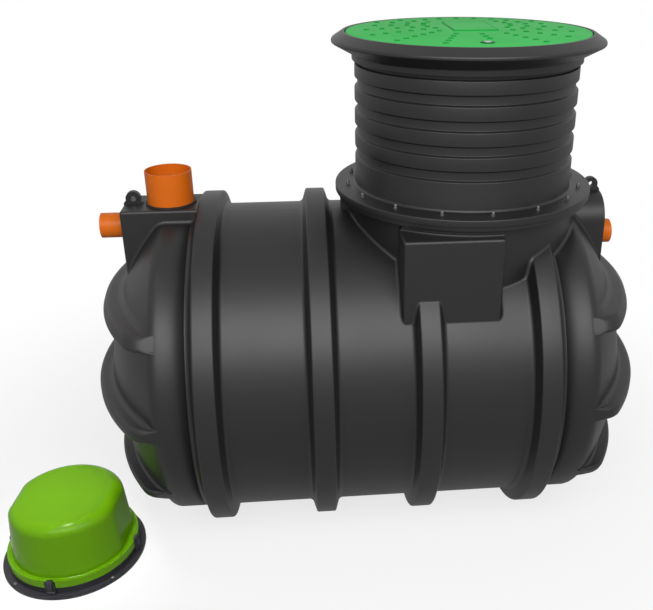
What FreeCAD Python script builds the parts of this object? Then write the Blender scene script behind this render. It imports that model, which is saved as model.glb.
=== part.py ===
"""Packaged sewage treatment plant: a ribbed horizontal tank with a riser and lid, and its blower housing.

All lengths are millimetres and +Z is up. The origin is on the ground, in the middle of the foot of the
second rib; +X runs along the tank from the inlet end to the outlet end.
"""
import FreeCAD, Part
import math
import os
import re
import Sketcher

# Driving dimensions: alias, number, what it is.
SIZES = [
    ("shell_radius", 708, "outside radius of the plain tank shell"),
    ("wall", 12, "wall of the tank shell"),
    ("foot_flat", 13, "how far the crest of a rib is flattened where it stands on the ground"),
    ("rib_height", 60, "height of a hoop rib above the shell"),
    ("rib_crest_width", 84, "width of a rib at its crest"),
    ("rib_base_width", 122, "width of a rib at its foot"),
    ("rib_edge_radius", 9, "rounding of a rib's edges"),
    ("rib_first_x", -463, "centre of the first rib"),
    ("rib_third_x", 435, "centre of the third rib"),
    ("rib_fourth_x", 922, "centre of the fourth rib"),
    ("end_margin", 190.5, "from the centre of an end rib to the shoulder of its head"),
    ("crown_radius", 1000, "dish radius of a head"),
    ("knuckle_radius", 70, "rounding between the shell and a head"),
    ("shelf_rise", 66, "tip of a shelf rib beyond the crown of its head"),
    ("shelf_crown_radius", 1100, "radius of a shelf rib's outline"),
    ("shelf_knuckle_radius", 110, "rounding of a shelf rib's outline beside the shell"),
    ("shelf_thickness", 62, "thickness of a shelf rib"),
    ("shelf_spacing", 365, "height from one shelf rib to the next"),
    ("shelf_edge_radius", 20, "rounding of a shelf rib's edges"),
    ("shelf_inset", 1, "sides of a shelf rib inside the surface of the shell"),
    ("box_edge_radius", 12, "rounding of the edges of the moulded boxes"),
    ("inlet_box_margin", 20, "side of the inlet box beyond the inspection pipe"),
    ("inlet_box_rise", 47, "top of the inlet box above the shell"),
    ("inlet_drop", 98, "axis of the inlet pipe below the top of the inlet box"),
    ("inlet_stub", 106, "length of the inlet pipe outside its box"),
    ("inspection_gap", 8, "gap between the inspection pipe and the foot of the first rib"),
    ("inspection_radius", 100, "outside radius of the inspection pipe"),
    ("inspection_wall", 5, "wall of the inspection pipe"),
    ("inspection_stub", 147, "length of the inspection pipe above the inlet box"),
    ("boss_radius", 120, "radius of the round top of the outlet boss, and half its width"),
    ("boss_rise", 49, "top of the outlet boss above the shell"),
    ("outlet_land", 97, "height of the outlet pipe's seal above the upper shelf rib"),
    ("boss_land", 24, "end of the outlet boss beyond its head, at the foot of the seal"),
    ("outlet_stub", 66, "length of the outlet pipe outside its boss"),
    ("pipe_radius", 55, "outside radius of the inlet and outlet pipes"),
    ("pipe_wall", 3.2, "wall of the inlet and outlet pipes"),
    ("pipe_inside_reach", 60, "length of each pipe inside the wall that it passes"),
    ("pipe_shoulder", 1, "height of the shoulder where a pipe stops against its seal"),
    ("seal_width", 9, "width of a rubber pipe seal's lip"),
    ("seal_height", 7, "height of a rubber pipe seal's lip"),
    ("eye_radius", 32, "outside radius of a lifting eye"),
    ("eye_hole_radius", 12, "hole of a lifting eye"),
    ("eye_thickness", 26, "thickness of a lifting eye"),
    ("left_eye_gap", 9, "gap between the inlet end's lifting eye and the inspection pipe's seal"),
    ("right_eye_gap", 2, "gap between the outlet end's lifting eye and the riser's flange"),
    ("eye_margin", 2, "land between a lifting eye's foot and the end of its box or boss"),
    ("left_eye_rise", 24, "centre of the inlet end's lifting eye above its box"),
    ("right_eye_rise", 32, "centre of the outlet end's lifting eye above its boss"),
    ("eye_foot_length", 84, "length of a lifting eye's foot"),
    ("eye_foot_height", 10, "height of a lifting eye's foot"),
    ("neck_step", 30, "outside of the neck beyond the outside of the riser"),
    ("neck_rise", 62, "underside of the neck flange above the shell"),
    ("neck_flange_inset", 13, "edge of the neck flange, in from the edge of the riser's flange"),
    ("neck_flange_thickness", 25, "thickness of the neck flange"),
    ("gusset_length", 40, "length of the gusset beside the neck"),
    ("gusset_half_width", 30, "half the width of the gusset beside the neck"),
    ("side_box_step", 80, "face of a side box beyond the neck"),
    ("side_box_left", 328, "inlet side of a side box, measured from the turret's axis"),
    ("side_box_right", 75, "outlet side of a side box, measured from the turret's axis"),
    ("side_box_rise", 45, "top of a side box above the shell"),
    ("riser_flange_width", 90, "width of the riser's flange"),
    ("riser_flange_thickness", 30, "thickness of the riser's flange"),
    ("riser_radius", 475, "outside radius of the riser's crests and skirt"),
    ("riser_groove_depth", 12, "depth of the riser's grooves"),
    ("riser_wall", 14, "wall of the riser behind a groove"),
    ("riser_skirt_height", 122, "height of the riser's plain skirt above its flange"),
    ("riser_groove_width", 45, "height of one groove of the riser"),
    ("riser_crest_width", 53, "height of one crest of the riser"),
    ("riser_slope", 6, "height of the slope at each edge of a groove"),
    ("bolt_offset", 38, "circle of flange bolts, out from the riser"),
    ("bolt_start_angle", 3.6, "angle of the first flange bolt"),
    ("bolt_head_radius", 9, "radius of a flange bolt's head"),
    ("bolt_head_height", 9, "height of a flange bolt's head"),
    ("spigot_depth", 50, "length of the lid frame's spigot inside the riser"),
    ("spigot_clearance", 0.3, "clearance of the spigot inside the riser"),
    ("frame_wall", 12, "wall of the lid frame"),
    ("frame_band_step", 11.3, "lid frame's lower band beyond its spigot"),
    ("frame_band_height", 16, "height of the lid frame's lower band"),
    ("frame_collar_step", 26, "lid frame's collar beyond its lower band"),
    ("frame_collar_height", 26, "height of the lid frame's collar"),
    ("frame_flare_height", 46, "height of the lid frame's flare"),
    ("frame_bevel_width", 44.7, "width of the slope from the rim to the lid"),
    ("frame_rim_height", 12, "height of the lid frame's widest band"),
    ("frame_bevel_height", 29, "height of the slope from the rim to the lid"),
    ("lid_step", 39, "edge of the lid beyond the outside of the riser"),
    ("lid_thickness", 32, "thickness of the lid"),
    ("lid_clearance", 0.3, "clearance around the lid"),
    ("lid_ledge", 36, "width of the ledge that the lid rests on"),
    ("lid_edge_radius", 5, "rounding of the lid's upper edge"),
    ("lock_radius", 15, "radius of the lid's lock screw"),
    ("lock_distance", 397, "distance of the lock screw from the lid's centre"),
    ("lock_height", 5, "height of the lock screw's head above the lid"),
    ("blower_bearing", 20, "direction of the blower housing from the tank's axis, in degrees"),
    ("blower_clearance", 10, "gap in plan between the blower's cover and the lowest shelf rib"),
    ("blower_plate_margin", 35, "edge of the blower's base plate beyond its ring"),
    ("blower_plate_thickness", 12, "thickness of the blower's base plate"),
    ("blower_ring_radius", 275, "radius of the blower's base ring"),
    ("blower_ring_height", 30, "height of the blower's base ring above its plate"),
    ("blower_lip_step", 8, "cover's lip beyond the base ring"),
    ("blower_lip_height", 35, "height of the cover's lip"),
    ("blower_ledge_width", 21, "ledge between the cover's lip and its wall"),
    ("blower_wall_height", 242, "height of the cover above its lip"),
    ("blower_draft", 5, "lean of the cover's wall, in degrees"),
    ("blower_shoulder_radius", 50, "rounding of the cover's shoulder"),
    ("blower_corner_radius", 70, "rounding between the cover's round and flat sides"),
    ("blower_cover_wall", 4, "wall of the cover"),
    ("blower_flat_angle", -5, "direction of the cover's flat sides, in degrees from the tank's axis"),
    ("blower_flat_depth", 15, "depth of the cover's flat sides"),
    ("fixing_hole_radius", 4.5, "radius of the fixing holes in the blower's base plate"),
    ("fixing_margin", 18, "circle of fixing holes, out from the base ring"),
    ("clip_angle", -7, "angle of the first clip from the front of the blower"),
    ("clip_width", 44, "width of a cover clip"),
    ("clip_gap", 5, "gap between a cover clip and the base plate"),
    ("clip_thickness", 9, "thickness of a cover clip"),
]
BOLT_COUNT = 16
GROOVE_COUNT = 4
CLIP_COUNT = 4
FIXING_COUNT = 4
ALIASES = {alias for alias, number, note in SIZES}
RIB_CENTRES = ["rib_first_x", "0", "rib_third_x", "rib_fourth_x"]

# Sizes and places that follow from the driving dimensions.
WORKED_OUT = {
    "axis_height": "shell_radius + rib_height - foot_flat",
    "shell_top": "axis_height + shell_radius",
    "crest_radius": "shell_radius + rib_height",
    "inner_radius": "shell_radius - wall",
    "mid_x": "(rib_first_x + rib_fourth_x) / 2",
    "shoulder": "(rib_fourth_x - rib_first_x) / 2 + end_margin",
    "dish_centre": "shoulder - sqrt(crown_radius^2 - shell_radius^2)",
    "head_apex": "dish_centre + crown_radius",
    "inner_shoulder": "dish_centre + sqrt((crown_radius - wall)^2 - inner_radius^2)",
    "shelf_apex": "head_apex + shelf_rise",
    "shelf_centre": "shelf_apex - shelf_crown_radius",
    "shelf_radius": "shell_radius - shelf_inset",
    "shelf_shoulder": "shelf_centre + sqrt(shelf_crown_radius^2 - shelf_radius^2)",
    "inspection_x": "rib_first_x - rib_base_width / 2 - inspection_gap - inspection_radius",
    "left_eye_x": "inspection_x - inspection_radius - seal_width - left_eye_gap - eye_foot_length / 2",
    "inlet_box_end": "left_eye_x - eye_foot_length / 2 - eye_margin",
    "inlet_box_half_width": "inspection_radius + inlet_box_margin",
    "inlet_box_top": "shell_top + inlet_box_rise",
    "inlet_height": "inlet_box_top - inlet_drop",
    "neck_radius": "riser_radius + neck_step",
    "riser_flange_radius": "riser_radius + riser_flange_width",
    "neck_flange_radius": "riser_flange_radius - neck_flange_inset",
    "bolt_circle_radius": "riser_radius + bolt_offset",
    "boss_top": "shell_top + boss_rise",
    "boss_axis": "boss_top - boss_radius",
    "boss_foot": "shelf_spacing + shelf_thickness / 2 + outlet_land",
    "boss_end": "mid_x + dish_centre + sqrt(crown_radius^2 - boss_foot^2) + boss_land",
    "outlet_height": "axis_height + boss_foot + seal_width + pipe_radius",
    "right_eye_x": "boss_end - eye_margin - eye_foot_length / 2",
    "turret_x": "right_eye_x - eye_radius - right_eye_gap - riser_flange_radius",
    "side_box_reach": "neck_radius + side_box_step",
    "side_box_top": "shell_top + side_box_rise",
    "neck_top": "shell_top + neck_rise",
    "riser_base": "neck_top + neck_flange_thickness",
    "riser_flange_top": "riser_base + riser_flange_thickness",
    "riser_skirt_top": "riser_flange_top + riser_skirt_height",
    "riser_pitch": "riser_groove_width + riser_crest_width",
    "riser_top": f"riser_skirt_top + {GROOVE_COUNT} * riser_pitch",
    "riser_bore": "riser_radius - riser_groove_depth - riser_wall",
    "spigot_radius": "riser_bore - spigot_clearance",
    "frame_bore": "spigot_radius - frame_wall",
    "frame_band_radius": "spigot_radius + frame_band_step",
    "frame_collar_radius": "frame_band_radius + frame_collar_step",
    "frame_collar_base": "riser_top + frame_band_height",
    "frame_flare_base": "frame_collar_base + frame_collar_height",
    "frame_rim_base": "frame_flare_base + frame_flare_height",
    "frame_rim_top": "frame_rim_base + frame_rim_height",
    "lid_radius": "riser_radius + lid_step",
    "seat_radius": "lid_radius + lid_clearance",
    "frame_rim_radius": "seat_radius + frame_wall + frame_bevel_width",
    "lid_top": "frame_rim_top + frame_bevel_height",
    "lid_seat": "lid_top - lid_thickness",
    "blower_plate_radius": "blower_ring_radius + blower_plate_margin",
    "fixing_circle_radius": "blower_ring_radius + fixing_margin",
    "blower_lip_radius": "blower_ring_radius + blower_lip_step",
    "blower_wall_radius": "blower_lip_radius - blower_ledge_width",
    "blower_flat_distance": "blower_wall_radius - blower_flat_depth",
    "cover_base": "blower_plate_thickness + blower_ring_height",
    "cover_ledge": "cover_base + blower_lip_height",
    "clip_foot": "blower_plate_thickness + clip_gap",
    "shelf_reach": "sqrt(shelf_crown_radius^2 - (shelf_spacing - shelf_thickness / 2)^2)",
    "blower_distance": "shelf_reach + blower_wall_radius + blower_clearance",
    "blower_x": "mid_x - shelf_centre - blower_distance * cos(blower_bearing * 1deg)",
    "blower_y": "-blower_distance * sin(blower_bearing * 1deg)",
}

doc = FreeCAD.newDocument("TreatmentPlant")
sheet = doc.addObject("Spreadsheet::Sheet", "Sizes")
for row, (alias, number, note) in enumerate(SIZES, start=1):
    sheet.set(f"A{row}", note)
    sheet.set(f"B{row}", str(number))
    sheet.setAlias(f"B{row}", alias)
doc.recompute()

nodes = []


def sized(text):
    """Turn a formula in size names into an expression on the sheet."""
    def replace(found):
        """Give one name its cell, or the formula that it stands for."""
        word = found[0]
        if word in WORKED_OUT:
            return f"({sized(WORKED_OUT[word])})"
        return f"Sizes.{word}" if word in ALIASES else word

    return re.sub(r"[a-z_]+", replace, text)


def value(text):
    """Work out a formula in size names as a number."""
    return float(sheet.evalExpression(sized(text)))


def bind(thing, path, text):
    """Tie one property of an object to a formula in size names."""
    thing.setExpression(path, sized(text))


def place(thing, x="0", y="0", z="0", rotation=FreeCAD.Rotation()):
    """Put an object at a point given by three formulas."""
    thing.Placement = FreeCAD.Placement(FreeCAD.Vector(value(x), value(y), value(z)), rotation)
    for letter, text in zip("xyz", (x, y, z)):
        bind(thing, f"Placement.Base.{letter}", text)
    return thing


def keep(name, thing):
    """Name an object as one piece of the plant."""
    thing.Label = name
    nodes.append(thing)
    return thing


def block(name, low, high):
    """Make a box between two corners, each given by three formulas."""
    box = doc.addObject("Part::Box", name)
    for side, start, end in zip(("Length", "Width", "Height"), low, high):
        bind(box, side, f"({end}) - ({start})")
    return place(box, *low)


ALONG_X = FreeCAD.Rotation(FreeCAD.Vector(0, 1, 0), 90)
TOWARDS_INLET = FreeCAD.Rotation(FreeCAD.Vector(0, 1, 0), -90)
ALONG_Y = FreeCAD.Rotation(FreeCAD.Vector(1, 0, 0), -90)
ALONG_Z = FreeCAD.Rotation()


def rod(name, radius, length, start, direction=ALONG_Z):
    """Make a cylinder from a start point along one axis."""
    cylinder = doc.addObject("Part::Cylinder", name)
    bind(cylinder, "Radius", radius)
    bind(cylinder, "Height", length)
    return place(cylinder, *start, direction)


def fused(name, pieces):
    """Join several solids into one."""
    joined = doc.addObject("Part::MultiFuse", name)
    joined.Shapes = pieces
    joined.Refine = False
    return joined


def shared(name, first, second):
    """Keep what two solids have in common."""
    overlap = doc.addObject("Part::Common", name)
    overlap.Base = first
    overlap.Tool = second
    overlap.Refine = False
    return overlap


def without(name, base, tool):
    """Cut one solid out of another."""
    rest = doc.addObject("Part::Cut", name)
    rest.Base = base
    rest.Tool = tool
    rest.Refine = False
    return rest


def rounded(name, base, radius, chooses):
    """Round the edges of a solid that a test chooses."""
    doc.recompute()
    fillet = doc.addObject("Part::Fillet", name)
    fillet.Base = base
    numbers = [index for index, edge in enumerate(base.Shape.Edges, start=1) if chooses(edge)]
    fillet.Edges = [(index, value(radius), value(radius)) for index in numbers]
    return fillet


def arc_middle(start, end, radius, turn):
    """Find the middle of the short arc between two points; turn is +1 with its centre on the left."""
    chord = end - start
    across = FreeCAD.Vector(-chord.y, chord.x, 0).normalize() * turn
    rise = radius - math.sqrt(radius ** 2 - chord.Length ** 2 / 4)
    return (start + end) * 0.5 - across * rise


def outline(body, name, corners, arcs=None, role="XZ_Plane"):
    """Draw a closed outline on one of a body's own planes, with every corner tied to the sheet.

    Each corner is a pair of formulas, and arcs gives the edges that are round: number, radius, turn.
    """
    arcs = arcs or {}
    plane = next(item for item in body.Origin.OriginFeatures if item.Role == role)
    sketch = body.newObject("Sketcher::SketchObject", name)
    sketch.AttachmentSupport = [(plane, "")]
    sketch.MapMode = "FlatFace"
    points = [FreeCAD.Vector(value(across), value(up), 0) for across, up in corners]
    count = len(points)
    for index, start in enumerate(points):
        end = points[(index + 1) % count]
        if index in arcs:
            radius, turn = arcs[index]
            sketch.addGeometry(Part.Arc(start, arc_middle(start, end, value(radius), turn), end))
        else:
            sketch.addGeometry(Part.LineSegment(start, end))

    def end_number(edge, point):
        """Find which end of an edge lies at a point."""
        distances = [(sketch.getPoint(edge, end) - point).Length for end in (1, 2)]
        return 1 + distances.index(min(distances))

    for index, (across, up) in enumerate(corners):
        before = (index - 1) % count
        here = end_number(index, points[index])
        there = end_number(before, points[index])
        sketch.addConstraint(Sketcher.Constraint("Coincident", before, there, index, here))
        for kind, text in (("DistanceX", across), ("DistanceY", up)):
            number = sketch.addConstraint(Sketcher.Constraint(kind, -1, 1, index, here, value(text)))
            bind(sketch, f"Constraints[{number}]", text)
        if index in arcs:
            radius = arcs[index][0]
            number = sketch.addConstraint(Sketcher.Constraint("Radius", index, value(radius)))
            bind(sketch, f"Constraints[{number}]", radius)
    return sketch


def turned(name, corners, arcs=None, about="V_Axis"):
    """Turn an outline about the upright axis of its own body, or about its level one."""
    body = doc.addObject("PartDesign::Body", name)
    sketch = outline(body, f"{name}_outline", corners, arcs)
    revolution = body.newObject("PartDesign::Revolution", f"{name}_turning")
    revolution.Profile = sketch
    revolution.ReferenceAxis = (sketch, [about])
    revolution.Angle = 360
    body.Tip = revolution
    return body


def softened(body, name, radius, chooses):
    """Round the edges of a turned body that a test chooses."""
    doc.recompute()
    base = body.Tip
    fillet = body.newObject("PartDesign::Fillet", name)
    edges = [f"Edge{index}" for index, edge in enumerate(base.Shape.Edges, start=1) if chooses(edge)]
    fillet.Base = (base, edges)
    bind(fillet, "Radius", radius)
    body.Tip = fillet
    return body


def is_ring(edge, radius):
    """Say whether an edge is a circle of a given radius."""
    if edge.Degenerated:
        return False
    return isinstance(edge.Curve, Part.Circle) and abs(edge.Curve.Radius - radius) < 0.01


def hoop_outline(apex, crown, shoulder, radius, crest, inset):
    """Give the half outline of the tank along its axis, from crown to crown over its four ribs."""
    corners = [(f"-{apex}", "0"), (f"-{shoulder}", radius)]
    for centre in RIB_CENTRES:
        middle = f"{centre} - mid_x"
        half_base = f"(rib_base_width / 2 - {inset})"
        half_crest = f"(rib_crest_width / 2 - {inset})"
        corners += [
            (f"{middle} - {half_base}", radius),
            (f"{middle} - {half_crest}", crest),
            (f"{middle} + {half_crest}", crest),
            (f"{middle} + {half_base}", radius),
        ]
    corners += [(shoulder, radius), (apex, "0")]
    last_arc = len(corners) - 2
    return corners, {0: (crown, -1), last_arc: (crown, -1)}


def tank_envelope():
    """Make the outside of the tank as one turned solid."""
    corners, arcs = hoop_outline(
        "head_apex", "crown_radius", "shoulder", "shell_radius", "crest_radius", "0")
    body = turned("tank_outside", corners, arcs, about="H_Axis")
    place(body, "mid_x", "0", "axis_height")
    crest = value("crest_radius")
    shell = value("shell_radius")
    shoulder = value("shoulder")

    def is_shoulder(edge):
        return is_ring(edge, shell) and abs(abs(edge.CenterOfMass.x) - shoulder) < 0.01

    def is_rib_edge(edge):
        return is_ring(edge, crest) or (is_ring(edge, shell) and not is_shoulder(edge))

    softened(body, "tank_knuckles", "knuckle_radius", is_shoulder)
    softened(body, "rib_edges", "rib_edge_radius", is_rib_edge)
    return body


def tank_hollow():
    """Make the inside of the tank, flat where the ribs stand on the ground."""
    corners, arcs = hoop_outline(
        "(head_apex - wall)", "crown_radius - wall", "inner_shoulder", "inner_radius",
        "(crest_radius - wall)", "wall")
    body = turned("tank_inside", corners, arcs, about="H_Axis")
    place(body, "mid_x", "0", "axis_height")
    reach = "(shelf_apex + shell_radius)"
    low = (f"-{reach}", f"-{reach}", "wall")
    high = (f"2 * {reach}", reach, f"2 * {reach}")
    above_floor = block("above_floor", low, high)
    return shared("tank_void", body, above_floor)


def shelf_ribs(name, side):
    """Make the three level shelf ribs of one head; side is -1 at the inlet end and 1 at the outlet end."""
    start = "(shoulder - knuckle_radius)"
    corners = [
        (start, "0"),
        (start, "shelf_radius"),
        ("shelf_shoulder", "shelf_radius"),
        ("shelf_apex", "0"),
    ]
    corners = [(f"{side} * {along}", up) for along, up in corners]
    body = turned(f"{name}_envelope", corners, {2: ("shelf_crown_radius", -side)}, about="H_Axis")
    place(body, "mid_x", "0", "axis_height")
    shoulder = side * value("shelf_shoulder")
    side_radius = value("shelf_radius")

    def is_shoulder(edge):
        return is_ring(edge, side_radius) and abs(edge.CenterOfMass.x - shoulder) < 0.01

    softened(body, f"{name}_knuckle", "shelf_knuckle_radius", is_shoulder)
    plates = []
    for number in (-1, 0, 1):
        middle = f"(axis_height + {number} * shelf_spacing)"
        low = ("mid_x - 2 * shelf_apex", "-shell_radius * 2", f"{middle} - shelf_thickness / 2")
        high = ("mid_x + 2 * shelf_apex", "shell_radius * 2", f"{middle} + shelf_thickness / 2")
        plates.append(block(f"{name}_slab_{number + 2}", low, high))
    plain = shared(f"{name}_plates", body, fused(f"{name}_slabs", plates))

    def is_outline(edge):
        box = edge.BoundBox
        return box.ZLength < 0.01 and box.XLength > 0.01

    return rounded(name, plain, "shelf_edge_radius", is_outline)


def moulded_box(name, low, high):
    """Make a box with its upright and upper edges rounded, and its floor left sharp."""
    plain = block(f"{name}_block", low, high)
    floor = value(low[2])
    return rounded(name, plain, "box_edge_radius", lambda edge: edge.BoundBox.ZMax > floor + 0.01)


def side_box(name, side):
    """Make the outside and the inside of the box at one side of the neck."""
    near = ("0", "side_box_reach") if side > 0 else ("-side_box_reach", "0")
    trim = ("0", "-wall") if side > 0 else ("wall", "0")
    left = "turret_x - side_box_left"
    right = "turret_x + side_box_right"
    low = (left, near[0], "axis_height")
    high = (right, near[1], "side_box_top")
    outside = moulded_box(f"{name}_outside", low, high)
    inside = block(
        f"{name}_inside",
        (f"{left} + wall", f"{near[0]} + {trim[0]}", "axis_height"),
        (f"{right} - wall", f"{near[1]} + {trim[1]}", "side_box_top - wall"))
    return outside, inside


def inlet_box_solids():
    """Make the outside and the inside of the inlet box."""
    half = "inlet_box_half_width"
    low = ("inlet_box_end", f"-{half}", "axis_height")
    high = ("rib_first_x", half, "inlet_box_top")
    outside = moulded_box("inlet_box_outside", low, high)
    inside = block(
        "inlet_box_inside",
        ("inlet_box_end + wall", f"-{half} + wall", "axis_height"),
        ("rib_first_x - rib_base_width / 2", f"{half} - wall", "inlet_box_top - wall"))
    return outside, inside


def boss_solids():
    """Make the outside and the inside of the round-topped outlet boss."""
    solids = []
    for name, trim in (("outside", "0"), ("inside", "wall")):
        radius = f"(boss_radius - {trim})"
        end = f"(boss_end - {trim})"
        low = ("turret_x", f"-{radius}", "axis_height")
        lower = block(f"boss_block_{name}", low, (end, radius, "boss_axis"))
        start = ("turret_x", "0", "boss_axis")
        upper = rod(f"boss_round_{name}", radius, f"{end} - turret_x", start, ALONG_X)
        solids.append(fused(f"boss_{name}", [lower, upper]))
    return solids


def along(start, direction, distance):
    """Move a start point along a direction by a formula."""
    step = direction.multVec(FreeCAD.Vector(0, 0, 1))
    return tuple(f"({text}) + {round(share)} * ({distance})" for text, share in zip(start, step))


def pipe(name, radius, wall_size, stub, wall_face, direction):
    """Make a pipe that leaves a wall: a stub outside its rubber seal, and a slimmer tail through the wall.

    The wall's outer face is given as a point on the pipe's axis, and the direction points outwards.
    """
    seat = f"({radius} - pipe_shoulder)"
    tail_length = "pipe_inside_reach + wall + seal_height"
    tail_start = along(wall_face, direction, "-pipe_inside_reach - wall")
    stub_start = along(wall_face, direction, "seal_height")
    tail = rod(f"{name}_tail", seat, tail_length, tail_start, direction)
    outer = rod(f"{name}_stub", radius, f"{stub} - seal_height", stub_start, direction)
    bore_length = f"{stub} + wall + pipe_inside_reach"
    bore = rod(f"{name}_bore", f"{radius} - {wall_size}", bore_length, tail_start, direction)
    keep(name, without(name, fused(f"{name}_solid", [tail, outer]), bore))
    lip = rod(f"{name}_lip", f"{radius} + seal_width", "seal_height", wall_face, direction)
    seal_name = name.replace("pipe", "seal")
    keep(seal_name, without(seal_name, lip, tail))
    return tail


def lifting_eye(name, x, base, rise):
    """Make a lifting eye that stands on the flat or round top of its box."""
    centre = f"({base} + {rise})"
    half = "eye_thickness / 2"
    disc = rod(f"{name}_disc", "eye_radius", "eye_thickness", (x, f"-{half}", centre), ALONG_Y)
    low = (f"{x} - eye_radius", f"-{half}", base)
    stem = block(f"{name}_stem", low, (f"{x} + eye_radius", half, centre))
    foot = block(
        f"{name}_foot",
        (f"{x} - eye_foot_length / 2", f"-{half}", base),
        (f"{x} + eye_foot_length / 2", half, f"{base} + wall + eye_foot_height"))
    hole = rod(f"{name}_hole", "eye_hole_radius", "eye_thickness", (x, f"-{half}", centre), ALONG_Y)
    return without(f"{name}_plate", fused(f"{name}_solid", [disc, stem, foot]), hole)


def riser_outline():
    """Give the riser's section: flange, skirt and grooved wall."""
    groove = "riser_radius - riser_groove_depth"
    corners = [
        ("riser_bore", "riser_base"),
        ("riser_flange_radius", "riser_base"),
        ("riser_flange_radius", "riser_flange_top"),
        ("riser_radius", "riser_flange_top"),
    ]
    for number in range(GROOVE_COUNT):
        low = f"riser_skirt_top + {number} * riser_pitch"
        corners += [
            ("riser_radius", low),
            (groove, f"{low} + riser_slope"),
            (groove, f"{low} + riser_groove_width - riser_slope"),
            ("riser_radius", f"{low} + riser_groove_width"),
        ]
    corners += [("riser_radius", "riser_top"), ("riser_bore", "riser_top")]
    return corners


def lid_frame_outline():
    """Give the lid frame's section: spigot, band, collar, flare, rim and the seat of the lid."""
    return [
        ("frame_bore", "riser_top - spigot_depth"),
        ("spigot_radius", "riser_top - spigot_depth"),
        ("spigot_radius", "riser_top"),
        ("frame_band_radius", "riser_top"),
        ("frame_band_radius", "frame_collar_base"),
        ("frame_collar_radius", "frame_collar_base"),
        ("frame_collar_radius", "frame_flare_base"),
        ("frame_rim_radius", "frame_rim_base"),
        ("frame_rim_radius", "frame_rim_top"),
        ("seat_radius + frame_wall", "lid_top"),
        ("seat_radius", "lid_top"),
        ("seat_radius", "lid_seat"),
        ("seat_radius - lid_ledge", "lid_seat"),
        ("frame_bore", "riser_top + frame_wall"),
    ]


def make_tank():
    """Make the shell, its boxes, its neck and its pipes."""
    outside = tank_envelope()
    void = tank_hollow()
    shelves = {"left_end": shelf_ribs("left_shelves", -1), "right_end": shelf_ribs("right_shelves", 1)}

    front, front_void = side_box("front_box", -1)
    back, back_void = side_box("back_box", 1)
    inlet, inlet_void = inlet_box_solids()
    boss, boss_void = boss_solids()
    neck_height = "neck_top - axis_height"
    neck_start = ("turret_x", "0", "axis_height")
    neck = rod("neck_outside", "neck_radius", neck_height, neck_start)
    neck_void = rod("neck_inside", "neck_radius - wall", neck_height, neck_start)
    hollow = fused("hollow", [void, neck_void, front_void, back_void, inlet_void, boss_void])

    half = "(rib_base_width / 2 + rib_edge_radius)"
    cuts = ["mid_x - shelf_apex * 2"]
    for centre in RIB_CENTRES:
        cuts += [f"{centre} - {half}", f"{centre} + {half}"]
    cuts.append("mid_x + shelf_apex * 2")
    names = ["left_end", "rib_1", "bay_1", "rib_2", "bay_2", "rib_3", "bay_3", "rib_4", "right_end"]
    side = "shell_radius * 2"
    for name, start, end in zip(names, cuts, cuts[1:]):
        slab = block(f"{name}_slab", (start, f"-({side})", "0"), (end, side, f"2 * {side}"))
        length = shared(f"{name}_length", outside, slab)
        if name in shelves:
            length = fused(f"{name}_head", [length, shelves[name]])
        keep(name, without(name, length, hollow))

    tank_and_neck = fused("tank_and_neck", [outside, neck])
    keep("neck", without("neck", without("neck_over_tank", neck, outside), hollow))
    for name, box in (("front_box", front), ("back_box", back)):
        keep(name, without(name, without(f"{name}_over_tank", box, tank_and_neck), hollow))

    inlet_face = ("inlet_box_end", "0", "inlet_height")
    inspection_face = ("inspection_x", "0", "inlet_box_top")
    outlet_face = ("boss_end", "0", "outlet_height")
    inlet_pipe = pipe("inlet_pipe", "pipe_radius", "pipe_wall", "inlet_stub", inlet_face, TOWARDS_INLET)
    inspection_pipe = pipe(
        "inspection_pipe", "inspection_radius", "inspection_wall", "inspection_stub",
        inspection_face, ALONG_Z)
    outlet_pipe = pipe("outlet_pipe", "pipe_radius", "pipe_wall", "outlet_stub", outlet_face, ALONG_X)
    inlet_cuts = fused("inlet_cuts", [outside, shelves["left_end"], hollow, inlet_pipe, inspection_pipe])
    keep("inlet_box", without("inlet_box", inlet, inlet_cuts))
    boss_cuts = fused("boss_cuts", [tank_and_neck, shelves["right_end"], hollow, outlet_pipe])
    keep("outlet_boss", without("outlet_boss", boss, boss_cuts))

    left_plate = lifting_eye("left_eye", "left_eye_x", "(inlet_box_top - wall)", "left_eye_rise + wall")
    keep("left_eye", without("left_eye", left_plate, inlet))
    right_plate = lifting_eye("right_eye", "right_eye_x", "(boss_top - wall)", "right_eye_rise + wall")
    keep("right_eye", without("right_eye", right_plate, boss))

    gusset = block(
        "gusset_block",
        ("turret_x - neck_radius - gusset_length", "-gusset_half_width", "axis_height"),
        ("turret_x", "gusset_half_width", "neck_top"))
    keep("neck_gusset", without("neck_gusset", gusset, tank_and_neck))

    start = ("turret_x", "0", "neck_top")
    flange = rod("neck_flange_disc", "neck_flange_radius", "neck_flange_thickness", start)
    bore = rod("neck_flange_bore", "neck_radius - wall", "neck_flange_thickness", start)
    keep("neck_flange", without("neck_flange", flange, bore))


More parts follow.
